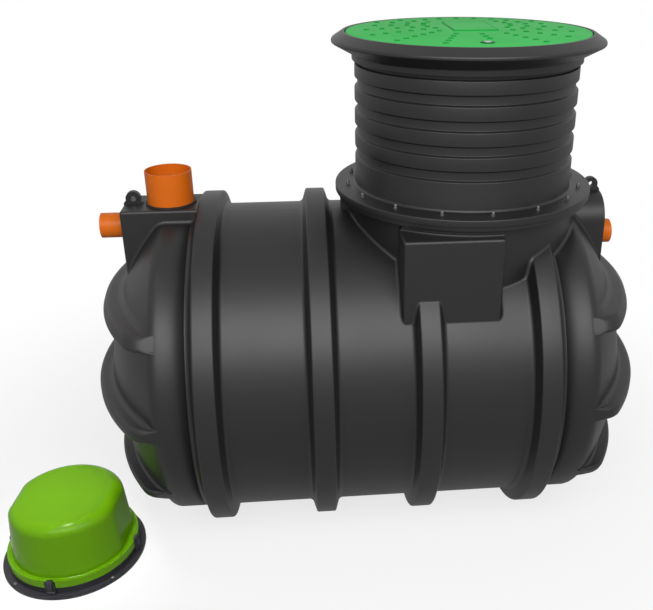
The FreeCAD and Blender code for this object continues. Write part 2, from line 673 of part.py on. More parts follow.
def make_turret():
    """Make the riser on its bolts, the lid frame, the lid and its lock."""
    riser = turned("riser", riser_outline())
    keep("riser", place(riser, "turret_x"))
    heads = []
    for number in range(BOLT_COUNT):
        angle = f"(bolt_start_angle + {number} * 360 / {BOLT_COUNT}) * 1deg"
        spot = (
            f"turret_x + bolt_circle_radius * cos({angle})",
            f"bolt_circle_radius * sin({angle})",
            "riser_flange_top")
        heads.append(rod(f"bolt_{number + 1}", "bolt_head_radius", "bolt_head_height", spot))
    bolts = doc.addObject("Part::Compound", "flange_bolts")
    bolts.Links = heads
    keep("flange_bolts", bolts)
    frame = turned("lid_frame", lid_frame_outline())
    keep("lid_frame", place(frame, "turret_x"))
    disc = rod("lid_disc", "lid_radius", "lid_thickness", ("turret_x", "0", "lid_seat"))
    top = value("lid_top")
    keep("lid", rounded("lid", disc, "lid_edge_radius", lambda edge: edge.BoundBox.ZMin > top - 0.01))
    lock_spot = ("turret_x", "-lock_distance", "lid_top")
    keep("lid_lock", rod("lid_lock", "lock_radius", "lock_height", lock_spot))


def cover_solid(name, trim):
    """Make the blower's cover as a solid: a round lip, and a leaning wall with two flat sides."""
    radius = f"(blower_wall_radius - {trim})"
    distance = f"(blower_flat_distance - {trim})"
    half_flat = f"sqrt({radius}^2 - {distance}^2)"
    corners = [
        (distance, f"-{half_flat}"),
        (distance, half_flat),
        (f"-{distance}", half_flat),
        (f"-{distance}", f"-{half_flat}"),
    ]
    body = doc.addObject("PartDesign::Body", f"{name}_wall")
    arcs = {1: (radius, 1), 3: (radius, 1)}
    sketch = outline(body, f"{name}_plan", corners, arcs, role="XY_Plane")
    pad = body.newObject("PartDesign::Pad", f"{name}_pad")
    pad.Profile = sketch
    bind(pad, "Length", "blower_wall_height")
    bind(pad, "TaperAngle", "-blower_draft")
    body.Tip = pad
    top = value("blower_wall_height")

    def is_corner(edge):
        return edge.BoundBox.ZLength > top - 0.01

    def is_top_edge(edge):
        return edge.BoundBox.ZMin > top - 0.01

    softened(body, f"{name}_corners", f"blower_corner_radius - {trim}", is_corner)
    softened(body, f"{name}_shoulder", f"blower_shoulder_radius - {trim}", is_top_edge)
    turn = FreeCAD.Rotation(FreeCAD.Vector(0, 0, 1), value("blower_flat_angle"))
    place(body, "0", "0", f"cover_ledge - {trim}", turn)
    start = ("0", "0", "cover_base")
    lip = rod(f"{name}_lip", f"blower_lip_radius - {trim}", f"blower_lip_height - {trim}", start)
    return fused(name, [body, lip])


def make_clip(number):
    """Make one toggle clip that holds the cover's lip to the base ring."""
    name = f"clip_{number + 1}"
    face = "blower_lip_radius"
    half = "clip_width / 2"
    low = "clip_foot"
    start = (f"-{half}", f"-{face} - clip_thickness", low)
    plate = block(f"{name}_plate", start, (half, f"-{face}", "cover_ledge"))
    hook = block(
        f"{name}_hook",
        (f"-{half} + clip_thickness", f"-{face} - clip_thickness", "cover_ledge"),
        (f"{half} - clip_thickness", f"-{face} + clip_thickness", "cover_ledge + clip_thickness / 2"))
    lever = block(
        f"{name}_lever",
        (f"-{half} + clip_thickness", f"-{face} - 2 * clip_thickness", f"{low} + clip_thickness"),
        (f"{half} - clip_thickness", f"-{face} - clip_thickness", "cover_ledge - clip_thickness"))
    clip = fused(f"{name}_solid", [plate, hook, lever])
    turn = FreeCAD.Rotation(FreeCAD.Vector(0, 0, 1), value("clip_angle") + number * 360 / CLIP_COUNT)
    cover = rod(f"{name}_curve", face, f"cover_ledge - ({low})", ("0", "0", low))
    keep(name, place(without(name, clip, cover), "blower_x", "blower_y", "0", turn))


def make_blower():
    """Make the blower's base, cover and clips."""
    corners = [
        ("0", "0"),
        ("blower_plate_radius", "0"),
        ("blower_plate_radius", "blower_plate_thickness"),
        ("blower_ring_radius", "blower_plate_thickness"),
        ("blower_ring_radius", "cover_base"),
        ("0", "cover_base"),
    ]
    plain = turned("blower_base_turned", corners)
    holes = []
    for number in range(FIXING_COUNT):
        angle = f"({number} + 0.5) * 360deg / {FIXING_COUNT}"
        spot = (f"fixing_circle_radius * cos({angle})", f"fixing_circle_radius * sin({angle})", "0")
        holes.append(rod(f"fixing_hole_{number + 1}", "fixing_hole_radius", "blower_plate_thickness", spot))
    base = without("blower_base", plain, fused("fixing_holes", holes))
    keep("blower_base", place(base, "blower_x", "blower_y"))
    outside = cover_solid("cover_outside", "0")
    inside = cover_solid("cover_inside", "blower_cover_wall")
    shell = without("blower_cover", outside, inside)
    keep("blower_cover", place(shell, "blower_x", "blower_y"))
    for number in range(CLIP_COUNT):
        make_clip(number)


def write_parts():
    """Check every object and write one file for each piece."""
    doc.recompute()
    for thing in doc.Objects:
        if {"Invalid", "Error"} & set(thing.State):
            raise RuntimeError(f"{thing.Name} did not build: {thing.State}")
    for thing in nodes:
        if thing.Shape.isNull() or not thing.Shape.isValid():
            raise RuntimeError(f"{thing.Label} has no valid shape")
    os.makedirs("parts", exist_ok=True)
    for thing in nodes:
        thing.Shape.exportStep(f"parts/{thing.Label}.step")
        print(thing.Label, thing.Shape.BoundBox)


make_tank()
make_turret()
make_blower()
write_parts()
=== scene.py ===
"""Looks of a packaged sewage treatment plant: a ribbed tank with a riser and lid, and its blower housing.

Lengths are metres and +Z is up. +X runs along the tank from the inlet end to the outlet end, and the
camera stands on the -Y side.
"""
import logging
import math
from dataclasses import dataclass
from enum import Enum

import bmesh
import bpy
import numpy as np
from numpy.typing import NDArray
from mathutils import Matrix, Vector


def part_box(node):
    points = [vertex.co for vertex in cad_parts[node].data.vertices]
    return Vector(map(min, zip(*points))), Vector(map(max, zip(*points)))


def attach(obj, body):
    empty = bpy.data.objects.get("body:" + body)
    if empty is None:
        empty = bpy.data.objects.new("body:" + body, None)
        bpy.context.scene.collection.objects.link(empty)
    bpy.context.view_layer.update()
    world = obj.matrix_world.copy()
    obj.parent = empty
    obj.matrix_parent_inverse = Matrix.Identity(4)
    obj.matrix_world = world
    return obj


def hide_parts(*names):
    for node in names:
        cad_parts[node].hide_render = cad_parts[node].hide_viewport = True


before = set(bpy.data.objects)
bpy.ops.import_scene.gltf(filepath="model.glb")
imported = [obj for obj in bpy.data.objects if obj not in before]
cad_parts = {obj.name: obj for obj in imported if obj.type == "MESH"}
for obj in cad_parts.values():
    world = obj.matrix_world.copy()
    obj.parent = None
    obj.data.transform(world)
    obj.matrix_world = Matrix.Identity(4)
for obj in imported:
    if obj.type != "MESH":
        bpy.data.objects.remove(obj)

Array = NDArray[np.float64]
Faces = list[list[int]]
Shape = tuple[Array, Faces]
Colour = tuple[float, float, float]
Place = tuple[float, float, float]
Corner = tuple[float, float, float]
Spot = tuple[float, float]
Socket = bpy.types.NodeSocket
LOG = logging.getLogger("plant")
BODY = "root"
ORIGIN: Spot = (0.0, 0.0)
WELD = 1e-6
SAME_POINT = 1e-7
LEAST_ANGLE = 1e-3
SUNK = 0.001
HALVINGS = 44
RING_SEGMENTS = 192
COAT_ROUGHNESS = 0.03
CLOUD_SCALE, CLOUD_DETAIL, CLOUD_STOPS = 4.0, 3.0, (0.35, 0.65)
DULL_FROM, DULL_TO = 0.3, 0.7
GRAIN_DETAIL, GRAIN_STRENGTH = 2.0, 0.5


class Slot(Enum):
    """Material slots of the part's record."""

    TANK = "tank_black"
    PIPE = "pipe_orange"
    SEAL = "seal_rubber"
    BOLT = "bolt_steel"
    LID = "lid_green"
    COVER = "cover_green"
    BASE = "base_dark"


def settle(node: bpy.types.Node, values: dict[str, float]) -> None:
    """Set sockets of a shader node that nothing is linked to."""
    for socket, value in values.items():
        node.inputs[socket].default_value = value


def reckon(tree: bpy.types.NodeTree, operation: str, *terms: Socket | float) -> Socket:
    """Add a math node to a shader tree.

    Args:
        tree: the tree.
        operation: what the node works out.
        terms: its inputs in order, as sockets to link or as constants.

    Returns:
        Its output.
    """
    node = tree.nodes.new("ShaderNodeMath")
    node.operation = operation
    for place, term in zip(node.inputs, terms):
        if isinstance(term, Socket):
            tree.links.new(term, place)
        else:
            place.default_value = term
    return node.outputs["Value"]


@dataclass(frozen=True)
class Finish:
    """A moulded or metal surface with slow mottling and a fine grain.

    Attributes:
        name: name of the material.
        slot: slot of the record that the finish belongs to; not used.
        colour: linear colour of most of the surface.
        shade: linear colour of its darker patches.
        roughness: least roughness.
        spread: how much rougher the dull patches are.
        grain: size of the grain, in grains per metre.
        relief: depth of the grain in metres.
        metallic: 1 for bare metal.
        gloss: strength of the surface's own reflection, 0.5 for a common plastic.
        coat: weight of a clear gloss over the colour.
    """

    name: str
    slot: Slot
    colour: Colour
    shade: Colour
    roughness: float = 0.45
    spread: float = 0.05
    grain: float = 700.0
    relief: float = 2e-5
    metallic: float = 0.0
    gloss: float = 0.5
    coat: float = 0.0

    def material(self) -> bpy.types.Material:
        """Make the material, or find it if it is there.

        Returns:
            The material, which reads Object coordinates only.
        """
        found = bpy.data.materials.get(self.name)
        if found:
            return found
        made = bpy.data.materials.new(self.name)
        made.use_nodes = True
        made.diffuse_color = (*self.colour, 1.0)
        nodes, links = made.node_tree.nodes, made.node_tree.links
        surface = nodes["Principled BSDF"]
        settle(surface, {"Metallic": self.metallic, "Specular IOR Level": self.gloss})
        settle(surface, {"Coat Weight": self.coat, "Coat Roughness": COAT_ROUGHNESS})
        place, cloud = nodes.new("ShaderNodeTexCoord"), nodes.new("ShaderNodeTexNoise")
        settle(cloud, {"Scale": CLOUD_SCALE, "Detail": CLOUD_DETAIL})
        links.new(place.outputs["Object"], cloud.inputs["Vector"])
        ramp = nodes.new("ShaderNodeValToRGB")
        stops = zip(ramp.color_ramp.elements, CLOUD_STOPS, (self.shade, self.colour))
        for stop, position, colour in stops:
            stop.position, stop.color = position, (*colour, 1.0)
        links.new(cloud.outputs["Fac"], ramp.inputs["Fac"])
        links.new(ramp.outputs["Color"], surface.inputs["Base Color"])
        dull = nodes.new("ShaderNodeMapRange")
        settle(dull, {"From Min": DULL_FROM, "From Max": DULL_TO})
        settle(dull, {"To Min": self.roughness + self.spread, "To Max": self.roughness})
        links.new(cloud.outputs["Fac"], dull.inputs["Value"])
        links.new(dull.outputs["Result"], surface.inputs["Roughness"])
        grain = nodes.new("ShaderNodeTexNoise")
        settle(grain, {"Scale": self.grain, "Detail": GRAIN_DETAIL})
        links.new(place.outputs["Object"], grain.inputs["Vector"])
        bump = nodes.new("ShaderNodeBump")
        settle(bump, {"Strength": GRAIN_STRENGTH, "Distance": self.relief})
        links.new(grain.outputs["Fac"], bump.inputs["Height"])
        links.new(bump.outputs["Normal"], surface.inputs["Normal"])
        return made

    def dress(self, *nodes: str) -> None:
        """Give CAD nodes this finish.

        Args:
            nodes: names of the nodes.
        """
        for node in nodes:
            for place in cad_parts[node].material_slots:
                place.material = self.material()
            LOG.info("%s keeps its solid, in %s", node, self.name)


TANK_BLACK = Finish("moulded_black", Slot.TANK, (0.0110, 0.0110, 0.0113), (0.0096, 0.0096, 0.0098),
                    roughness=0.41, spread=0.04, relief=1e-5)
PIPE_ORANGE = Finish("drain_pipe_orange", Slot.PIPE, (0.76, 0.160, 0.007), (0.72, 0.146, 0.006),
                     roughness=0.36, spread=0.06, grain=300.0, relief=1.5e-5, gloss=0.25)
SEAL_RUBBER = Finish("lip_rubber", Slot.SEAL, (0.012, 0.012, 0.013), (0.009, 0.009, 0.010),
                     roughness=0.6, spread=0.1, grain=800.0, relief=1e-4)
BOLT_STEEL = Finish("plain_stainless", Slot.BOLT, (0.20, 0.20, 0.205), (0.16, 0.16, 0.165),
                    spread=0.1, relief=5e-5, metallic=1.0)
LOCK_STEEL = Finish("bright_stainless", Slot.BOLT, (0.70, 0.70, 0.70), (0.60, 0.60, 0.61),
                    roughness=0.25, spread=0.1, relief=3e-5, metallic=1.0)
LID_GREEN = Finish("satin_lid_green", Slot.LID, (0.030, 0.61, 0.098), (0.027, 0.58, 0.092), gloss=0.10)
# Darker lid green that paints shade onto the studs and onto a thin ring over the panel's sloped edge.
LID_PAINTED_SHADE_GREEN = Finish("lid_green_painted_shade", Slot.LID, (0.012, 0.38, 0.055), (0.010, 0.35, 0.050), gloss=0.05)
LOCK_GREEN = Finish("lock_ring_green", Slot.LID, (0.008, 0.14, 0.026), (0.006, 0.12, 0.022), gloss=0.10)
COVER_GREEN = Finish("gloss_cover_green", Slot.COVER, (0.130, 0.328, 0.003), (0.124, 0.315, 0.003),
                     roughness=0.14, spread=0.04, grain=60.0, gloss=0.05, coat=0.16)
BASE_DARK = Finish("satin_base_dark", Slot.BASE, (0.036, 0.034, 0.041), (0.031, 0.030, 0.036),
                   roughness=0.40, spread=0.06, gloss=0.25)


def grid_faces(rows: int, columns: int, wrap_rows: bool = False, wrap_columns: bool = False) -> Faces:
    """Join each point of a grid to the next one along and across by a four-sided face.

    Args:
        rows: number of rows of points.
        columns: number of points in a row.
        wrap_rows: whether the last row joins the first.
        wrap_columns: whether the last column joins the first.

    Returns:
        The corners of each face.
    """
    row = np.arange(rows if wrap_rows else rows - 1)[:, None]
    column = np.arange(columns if wrap_columns else columns - 1)[None, :]
    here, below = row * columns, (row + 1) % rows * columns
    beside = (column + 1) % columns
    corners = [here + column, below + column, below + beside, here + beside]
    return np.stack(corners, axis=-1).reshape(-1, 4).tolist()


def end_faces(rows: int, columns: int) -> Faces:
    """List the first and the last row of a grid as faces that close its ends."""
    return [list(range(columns)), list(range((rows - 1) * columns, rows * columns))]


def lengths(line: Array) -> Array:
    """Add up the length of a flat line as far as each of its points."""
    return np.concatenate([[0.0], np.cumsum(np.linalg.norm(np.diff(line, axis=0), axis=1))])


def points_at(line: Array, length: Array) -> Array:
    """Find the points of a flat line at these lengths along it."""
    known = lengths(line)
    return np.stack([np.interp(length, known, line[:, 0]), np.interp(length, known, line[:, 1])], axis=-1)


def rounded(corners: list[Corner], closed: bool = True, steps: int = 6) -> Array:
    """Round the corners of a flat outline.

    Each corner becomes a circular arc, written as a quadratic curve from one tangent point to the other
    that is weighted by the sine of half the corner's angle.

    Args:
        corners: the two coordinates of each corner, and its radius.
        closed: whether the last corner joins the first.
        steps: points on each arc.

    Returns:
        The points of the outline, in order and without doubles.
    """
    data = np.array(corners, float)
    middle, radius = data[:, :2], data[:, 2].copy()
    if not closed:
        radius[[0, -1]] = 0.0
    back = np.roll(middle, 1, axis=0) - middle
    ahead = np.roll(middle, -1, axis=0) - middle
    back /= np.linalg.norm(back, axis=1, keepdims=True)
    ahead /= np.linalg.norm(ahead, axis=1, keepdims=True)
    half = 0.5 * np.arccos(np.clip((back * ahead).sum(axis=1), -1.0, 1.0))
    tangent = (radius / np.tan(np.maximum(half, LEAST_ANGLE)))[:, None]
    weight = np.sin(half)[:, None, None]
    share = np.linspace(0.0, 1.0, steps)[None, :, None]
    first, last = (1 - share) ** 2, share ** 2
    between = 2 * share * (1 - share) * weight
    start, end = (middle + back * tangent)[:, None], (middle + ahead * tangent)[:, None]
    points = (first * start + between * middle[:, None] + last * end) / (first + between + last)
    points = points.reshape(-1, 2)
    apart = np.linalg.norm(np.diff(points, axis=0, prepend=points[-1:]), axis=1) > SAME_POINT
    apart[0] = True
    return points[apart]


def turned(section: Array, centre: Spot, segments: int, span: Spot | None = None) -> Shape:
    """Carry a closed section round an upright axis.

    A point at a radius and height of the section goes to the centre plus that radius along the cosine and
    sine of each angle.

    Args:
        section: the radius and height of each point.
        centre: where the axis stands in plan.
        segments: steps round the axis.
        span: first and last angle, if it doesn't go all the way round.

    Returns:
        The points and faces.
    """
    whole = span is None
    first, last = span or (0.0, 2 * math.pi)
    angle = np.linspace(first, last, segments, endpoint=not whole)[:, None]
    radius, height = section[None, :, 0], section[None, :, 1]
    x = centre[0] + radius * np.cos(angle)
    y = centre[1] + radius * np.sin(angle)
    points = np.stack([x, y, np.broadcast_to(height, x.shape)], axis=-1).reshape(-1, 3)
    faces = grid_faces(segments, len(section), whole, True)
    return points, faces if whole else faces + end_faces(segments, len(section))


def repeated(shape: Shape, places: Array, angles: Array) -> Shape:
    """Set copies of a shape at several places, each turned about its own upright axis.

    Args:
        shape: points and faces around the origin.
        places: where each copy stands.
        angles: how far each copy is turned.

    Returns:
        The points and faces of all copies.
    """
    points, faces = shape
    cosine, sine = np.cos(angles)[:, None], np.sin(angles)[:, None]
    x = points[None, :, 0] * cosine - points[None, :, 1] * sine
    y = points[None, :, 0] * sine + points[None, :, 1] * cosine
    z = np.broadcast_to(points[None, :, 2], x.shape)
    placed = np.stack([x, y, z], axis=-1) + places[:, None, :]
    starts = np.arange(len(places)) * len(points)
    corners = [[corner + start for corner in face] for start in starts.tolist() for face in faces]
    return placed.reshape(-1, 3), corners


def joined(*shapes: Shape) -> Shape:
    """Put several shapes into one, with the faces of each renumbered to its own points.

    Args:
        shapes: points and faces of each shape.

    Returns:
        The points and faces of all shapes.
    """
    corners, start = [], 0
    for points, faces in shapes:
        corners += [[corner + start for corner in face] for face in faces]
        start += len(points)
    return np.concatenate([points for points, faces in shapes]), corners


def block(low: Place, high: Place, edge: float) -> Shape:
    """Make a block with rounded edges.

    A point of the unit sphere, given by its latitude and longitude, goes to the corner of the inner block
    on its side plus the edge radius along the same direction.

    Args:
        low: lowest corner.
        high: highest corner.
        edge: radius of the edges.

    Returns:
        The points and faces.
    """
    low_corner, high_corner = np.array(low), np.array(high)
    latitude = np.radians([-90.0, -60.0, -30.0, -0.01, 0.01, 30.0, 60.0, 90.0])[:, None]
    quarter = np.radians([0.5, 30.0, 60.0, 89.5])
    longitude = (np.arange(4)[:, None] * math.pi / 2 + quarter[None, :]).reshape(1, -1)
    across = np.stack([np.cos(longitude), np.sin(longitude)], axis=-1)
    side = np.stack([np.sign(np.cos(longitude)), np.sign(np.sin(longitude))], axis=-1)
    flat = across * np.cos(latitude)[..., None]
    half = (high_corner - low_corner) / 2 - edge
    plan = side * half[:2] + flat * edge
    height = np.sign(latitude) * half[2] + np.sin(latitude) * edge
    height = np.broadcast_to(height[..., None], plan.shape[:2] + (1,))
    points = np.concatenate([plan, height], axis=-1) + (low_corner + high_corner) / 2
    rows, columns = points.shape[:2]
    return points.reshape(-1, 3), grid_faces(rows, columns, False, True) + end_faces(rows, columns)


def add_piece(name: str, shape: Shape, finish: Finish, replaces: tuple[str, ...] = (),
              crease: float = 40.0) -> bpy.types.Object:
    """Put a shape into the scene as a piece of the object.

    Args:
        name: name of the piece.
        shape: its points and faces, in place.
        finish: its finish.
        replaces: CAD nodes that it stands for.
        crease: angle in degrees past which an edge stays sharp.

    Returns:
        The new object, at the origin.
    """
    points, faces = shape
    mesh = bpy.data.meshes.new(name)
    mesh.from_pydata(points.tolist(), [], faces)
    work = bmesh.new()
    work.from_mesh(mesh)
    bmesh.ops.remove_doubles(work, verts=work.verts, dist=WELD)
    bmesh.ops.recalc_face_normals(work, faces=work.faces)
    work.to_mesh(mesh)
    work.free()
    mesh.polygons.foreach_set("use_smooth", np.ones(len(mesh.polygons), bool))
    mesh.set_sharp_from_angle(angle=math.radians(crease))
    mesh.materials.append(finish.material())
    piece = bpy.data.objects.new(name, mesh)
    bpy.context.scene.collection.objects.link(piece)
    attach(piece, BODY)
    if replaces:
        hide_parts(*replaces)
    LOG.info("%s: %d faces, in %s", name, len(mesh.polygons), finish.name)
    return piece


def middle_of(node: str) -> Array:
    """Find the middle of a CAD node's box."""
    low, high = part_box(node)
    return (np.array(low) + np.array(high)) / 2


def axis_of(node: str) -> Spot:
    """Find where the upright axis of a CAD node stands in plan."""
    x, y, _ = middle_of(node)
    return float(x), float(y)


def heights_of(node: str) -> Spot:
    """Find the lowest and the highest point of a CAD node."""
    low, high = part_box(node)
    return float(low[2]), float(high[2])


@dataclass
class Dome:
    """A dished surface turned about the tank's axis: a sphere that a knuckle joins to a cylinder.

    Attributes:
        radius: radius of the cylinder.
        crown: radius of the sphere.
        knuckle: radius of the knuckle.
        shift: centre of the sphere, measured outwards along the tank's axis.
    """

    radius: float
    crown: float
    knuckle: float
    shift: float = 0.0

    @property
    def hub(self) -> float:
        """Distance of the knuckle's centre from the tank's axis."""
        return self.radius - self.knuckle

    @property
    def throat(self) -> float:
        """Distance of the knuckle's centre from the sphere's centre, along the tank's axis."""
        return math.sqrt((self.crown - self.knuckle) ** 2 - self.hub ** 2)

    def reach(self, away: Array) -> Array:
        """Work out how far the surface reaches along the tank's axis.

        On the sphere this is the root of the crown radius squared less the distance squared, and on the
        knuckle the same of the knuckle's circle about its own centre.

        Args:
            away: distances from the tank's axis.

        Returns:
            The reach, measured from where the shift is measured from.
        """
        joint = self.crown * self.hub / (self.crown - self.knuckle)
        sphere = np.sqrt(np.maximum(self.crown ** 2 - away ** 2, 0.0))
        ring = self.throat + np.sqrt(np.maximum(self.knuckle ** 2 - (away - self.hub) ** 2, 0.0))
        return self.shift + np.where(away < joint, sphere, ring)

    def distance(self, base: float, height: Array, angle: Array) -> Array:
        """Find where level rays from an upright line on the tank's axis leave the surface.

        The way along each ray is halved again and again between a point inside and a point outside.

        Args:
            base: where the line stands along the axis.
            height: heights of the rays above the tank's axis.
            angle: angles of the rays from the axis, in plan.

        Returns:
            The length of each ray.
        """
        height, angle = np.broadcast_arrays(height, angle)
        near, far = np.zeros(height.shape), np.full(height.shape, 1.5 * self.crown)
        for _ in range(HALVINGS):
            ray = (near + far) / 2
            away = np.hypot(ray * np.sin(angle), height)
            inside = (away < self.radius) & (base + ray * np.cos(angle) < self.reach(away))
            near, far = np.where(inside, ray, near), np.where(inside, far, ray)
        return near


@dataclass
class Tank:
    """The tank's turned shape: a plain shell, four hoop ribs and two dished ends."""

    axis: float = 0.755
    radius: float = 0.708
    skin: float = 0.010
    rib_height: float = 0.060
    crest_half: float = 0.042
    foot_half: float = 0.061
    crest_edge: float = 0.009
    rib_fillet: float = 0.020
    rib_margin: float = 1e-4
    crown: float = 1.05
    knuckle: float = 0.060
    apex: float = 0.4843
    outline_step: float = 0.0015
    crown_start: float = 0.1
    crown_steps: int = 200
    knuckle_steps: int = 60
    arc_steps: int = 9
    fillet_root: float = 0.003

    def __post_init__(self) -> None:
        """Take the places of the ribs from the CAD nodes."""
        self.ribs = [float(middle_of(f"rib_{number}")[0]) for number in range(1, 5)]
        self.middle = (self.ribs[0] + self.ribs[3]) / 2
        self.dome = Dome(self.radius, self.crown, self.knuckle)
        self.end_plane = self.middle - float(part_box("left_end")[1][0])
        self.dish_centre = (self.ribs[3] - self.ribs[0]) / 2 + self.apex - self.crown

    def rib_outline(self, centre: float) -> Array:
        """Draw the outside of one rib, from the shell on one side to the shell on the other.

        Args:
            centre: place of the rib along the tank.

        Returns:
            Points along the tank and their distance from its axis.
        """
        slope = math.atan2(self.rib_height, self.foot_half - self.crest_half)
        foot = self.foot_half + self.rib_fillet * math.tan(slope / 2) + self.rib_margin
        crest = self.radius + self.rib_height
        corners = [
            (-foot, self.radius, 0.0),
            (-self.foot_half, self.radius, self.rib_fillet),
            (-self.crest_half, crest, self.crest_edge),
            (self.crest_half, crest, self.crest_edge),
            (self.foot_half, self.radius, self.rib_fillet),
            (foot, self.radius, 0.0),
        ]
        return rounded(corners, closed=False, steps=self.arc_steps) + [centre, 0.0]

    def outline(self) -> Array:
        """Draw the whole outside from end to end, without shelf ribs.

        Returns:
            Points along the tank and their distance from its axis.
        """
        dome = self.dome
        joint = math.asin(dome.hub / (self.crown - self.knuckle))
        sphere = np.linspace(self.crown_start, joint, self.crown_steps, endpoint=False)
        ring = np.linspace(joint, math.pi / 2, self.knuckle_steps)
        reach = np.concatenate([self.crown * np.cos(sphere), dome.throat + self.knuckle * np.cos(ring)])
        away = np.concatenate([self.crown * np.sin(sphere), dome.hub + self.knuckle * np.sin(ring)])
        left = np.stack([self.middle - self.dish_centre - reach, away], axis=-1)
        right = np.stack([self.middle + self.dish_centre + reach, away], axis=-1)[::-1]
        return np.concatenate([left, *map(self.rib_outline, self.ribs), right])

    def rolled(self, ball: float) -> tuple[Array, Array, Array, Array]:
        """Find where the centre of a ball runs that rolls on the outside.

        The outside is moved out by the ball's radius along its normals.

        Args:
            ball: radius of the ball.

        Returns:
            Places along the tank, distances from its axis, and the two parts of the normal.
        """
        line = self.outline()
        line = points_at(line, np.arange(0.0, lengths(line)[-1], self.outline_step))
        along = np.gradient(line, axis=0)
        normal = np.stack([-along[:, 1], along[:, 0]], axis=-1)
        normal /= np.linalg.norm(normal, axis=1, keepdims=True)
        centre = line + ball * normal
        order = np.argsort(centre[:, 0], kind="stable")
        return centre[order, 0], centre[order, 1], normal[order, 0], normal[order, 1]

    def foot_fillet(self, plan: Array, normal: Array, ball: float, closed: bool) -> Shape:
        """Fill the corner between the tank and an upright wall that stands on it.

        A ball rolls along the wall and the tank. In each place its section is the arc from where it
        touches the wall to where it touches the tank, turned evenly from one direction to the other, and a
        point behind the corner closes it.

        Args:
            plan: points of the wall in plan.
            normal: outward normals of the wall there.
            ball: radius of the ball.
            closed: whether the wall goes all the way round.

        Returns:
            The points and faces.
        """
        place, distance, lean, rise = self.rolled(ball)
        centre = plan + ball * normal
        away = np.interp(centre[:, 0], place, distance)
        up = np.sqrt(away ** 2 - centre[:, 1] ** 2)
        out = np.interp(centre[:, 0], place, rise)
        tilt = np.interp(centre[:, 0], place, lean)
        tank = np.stack([tilt, out * centre[:, 1] / away, out * up / away], axis=-1)
        tank /= np.linalg.norm(tank, axis=1, keepdims=True)
        wall = np.concatenate([normal, np.zeros((len(normal), 1))], axis=-1)
        middle = np.concatenate([centre, (self.axis + up)[:, None]], axis=-1)
        turn = np.arccos(np.clip((tank * wall).sum(axis=1), -0.999, 0.999))[:, None, None]
        share = np.linspace(0.0, 1.0, self.arc_steps)[None, :, None]
        way = np.sin((1 - share) * turn) * wall[:, None] + np.sin(share * turn) * tank[:, None]
        arc = middle[:, None] - ball * (way / np.sin(turn))
        inward = (tank + wall)[:, None] / np.linalg.norm(tank + wall, axis=1)[:, None, None]
        corner = middle[:, None] - inward * (ball / np.cos(turn / 2) + self.fillet_root)
        points = np.concatenate([arc, corner], axis=1)
        rows, columns = points.shape[:2]
        faces = grid_faces(rows, columns, closed, True)
        if not closed:
            faces += end_faces(rows, columns)
        return points.reshape(-1, 3), faces


@dataclass
class HoopRibs:
    """The hoop ribs, flat where they stand and ended inside the mouldings that cover them."""

    tank: Tank
    segments: int = 288
    covered: tuple[float, ...] = (0.0, 0.0, 44.0, 25.0)

    def hoop(self, centre: float, covered: float) -> Shape:
        """Carry a rib's closed section round the tank's axis, and cut it off at the ground.

        Args:
            centre: place of the rib along the tank.
            covered: angle from straight up, in degrees, inside which a moulding hides the rib.

        Returns:
            The points and faces.
        """
        tank = self.tank
        outside = tank.rib_outline(centre)
        inside = outside[[-1, 0]] - [0.0, tank.skin]
        section = np.concatenate([outside, inside])
        gap = math.radians(covered)
        whole = covered == 0.0
        angle = np.linspace(gap, 2 * math.pi - gap, self.segments, endpoint=not whole)[:, None]
        y = section[None, :, 1] * np.sin(angle)
        z = tank.axis + section[None, :, 1] * np.cos(angle)
        x = np.broadcast_to(section[None, :, 0], y.shape)
        points = np.stack([x, y, np.maximum(z, 0.0)], axis=-1).reshape(-1, 3)
        faces = grid_faces(self.segments, len(section), whole, True)
        if not whole:
            faces += end_faces(self.segments, len(section))
        return points, faces

    def build(self) -> None:
        """Add the four ribs, and dress the plain shell between them."""
        for number, (centre, covered) in enumerate(zip(self.tank.ribs, self.covered), 1):
            add_piece(f"hoop_rib_{number}", self.hoop(centre, covered), TANK_BLACK, (f"rib_{number}",))
        TANK_BLACK.dress("bay_1", "bay_2", "bay_3")


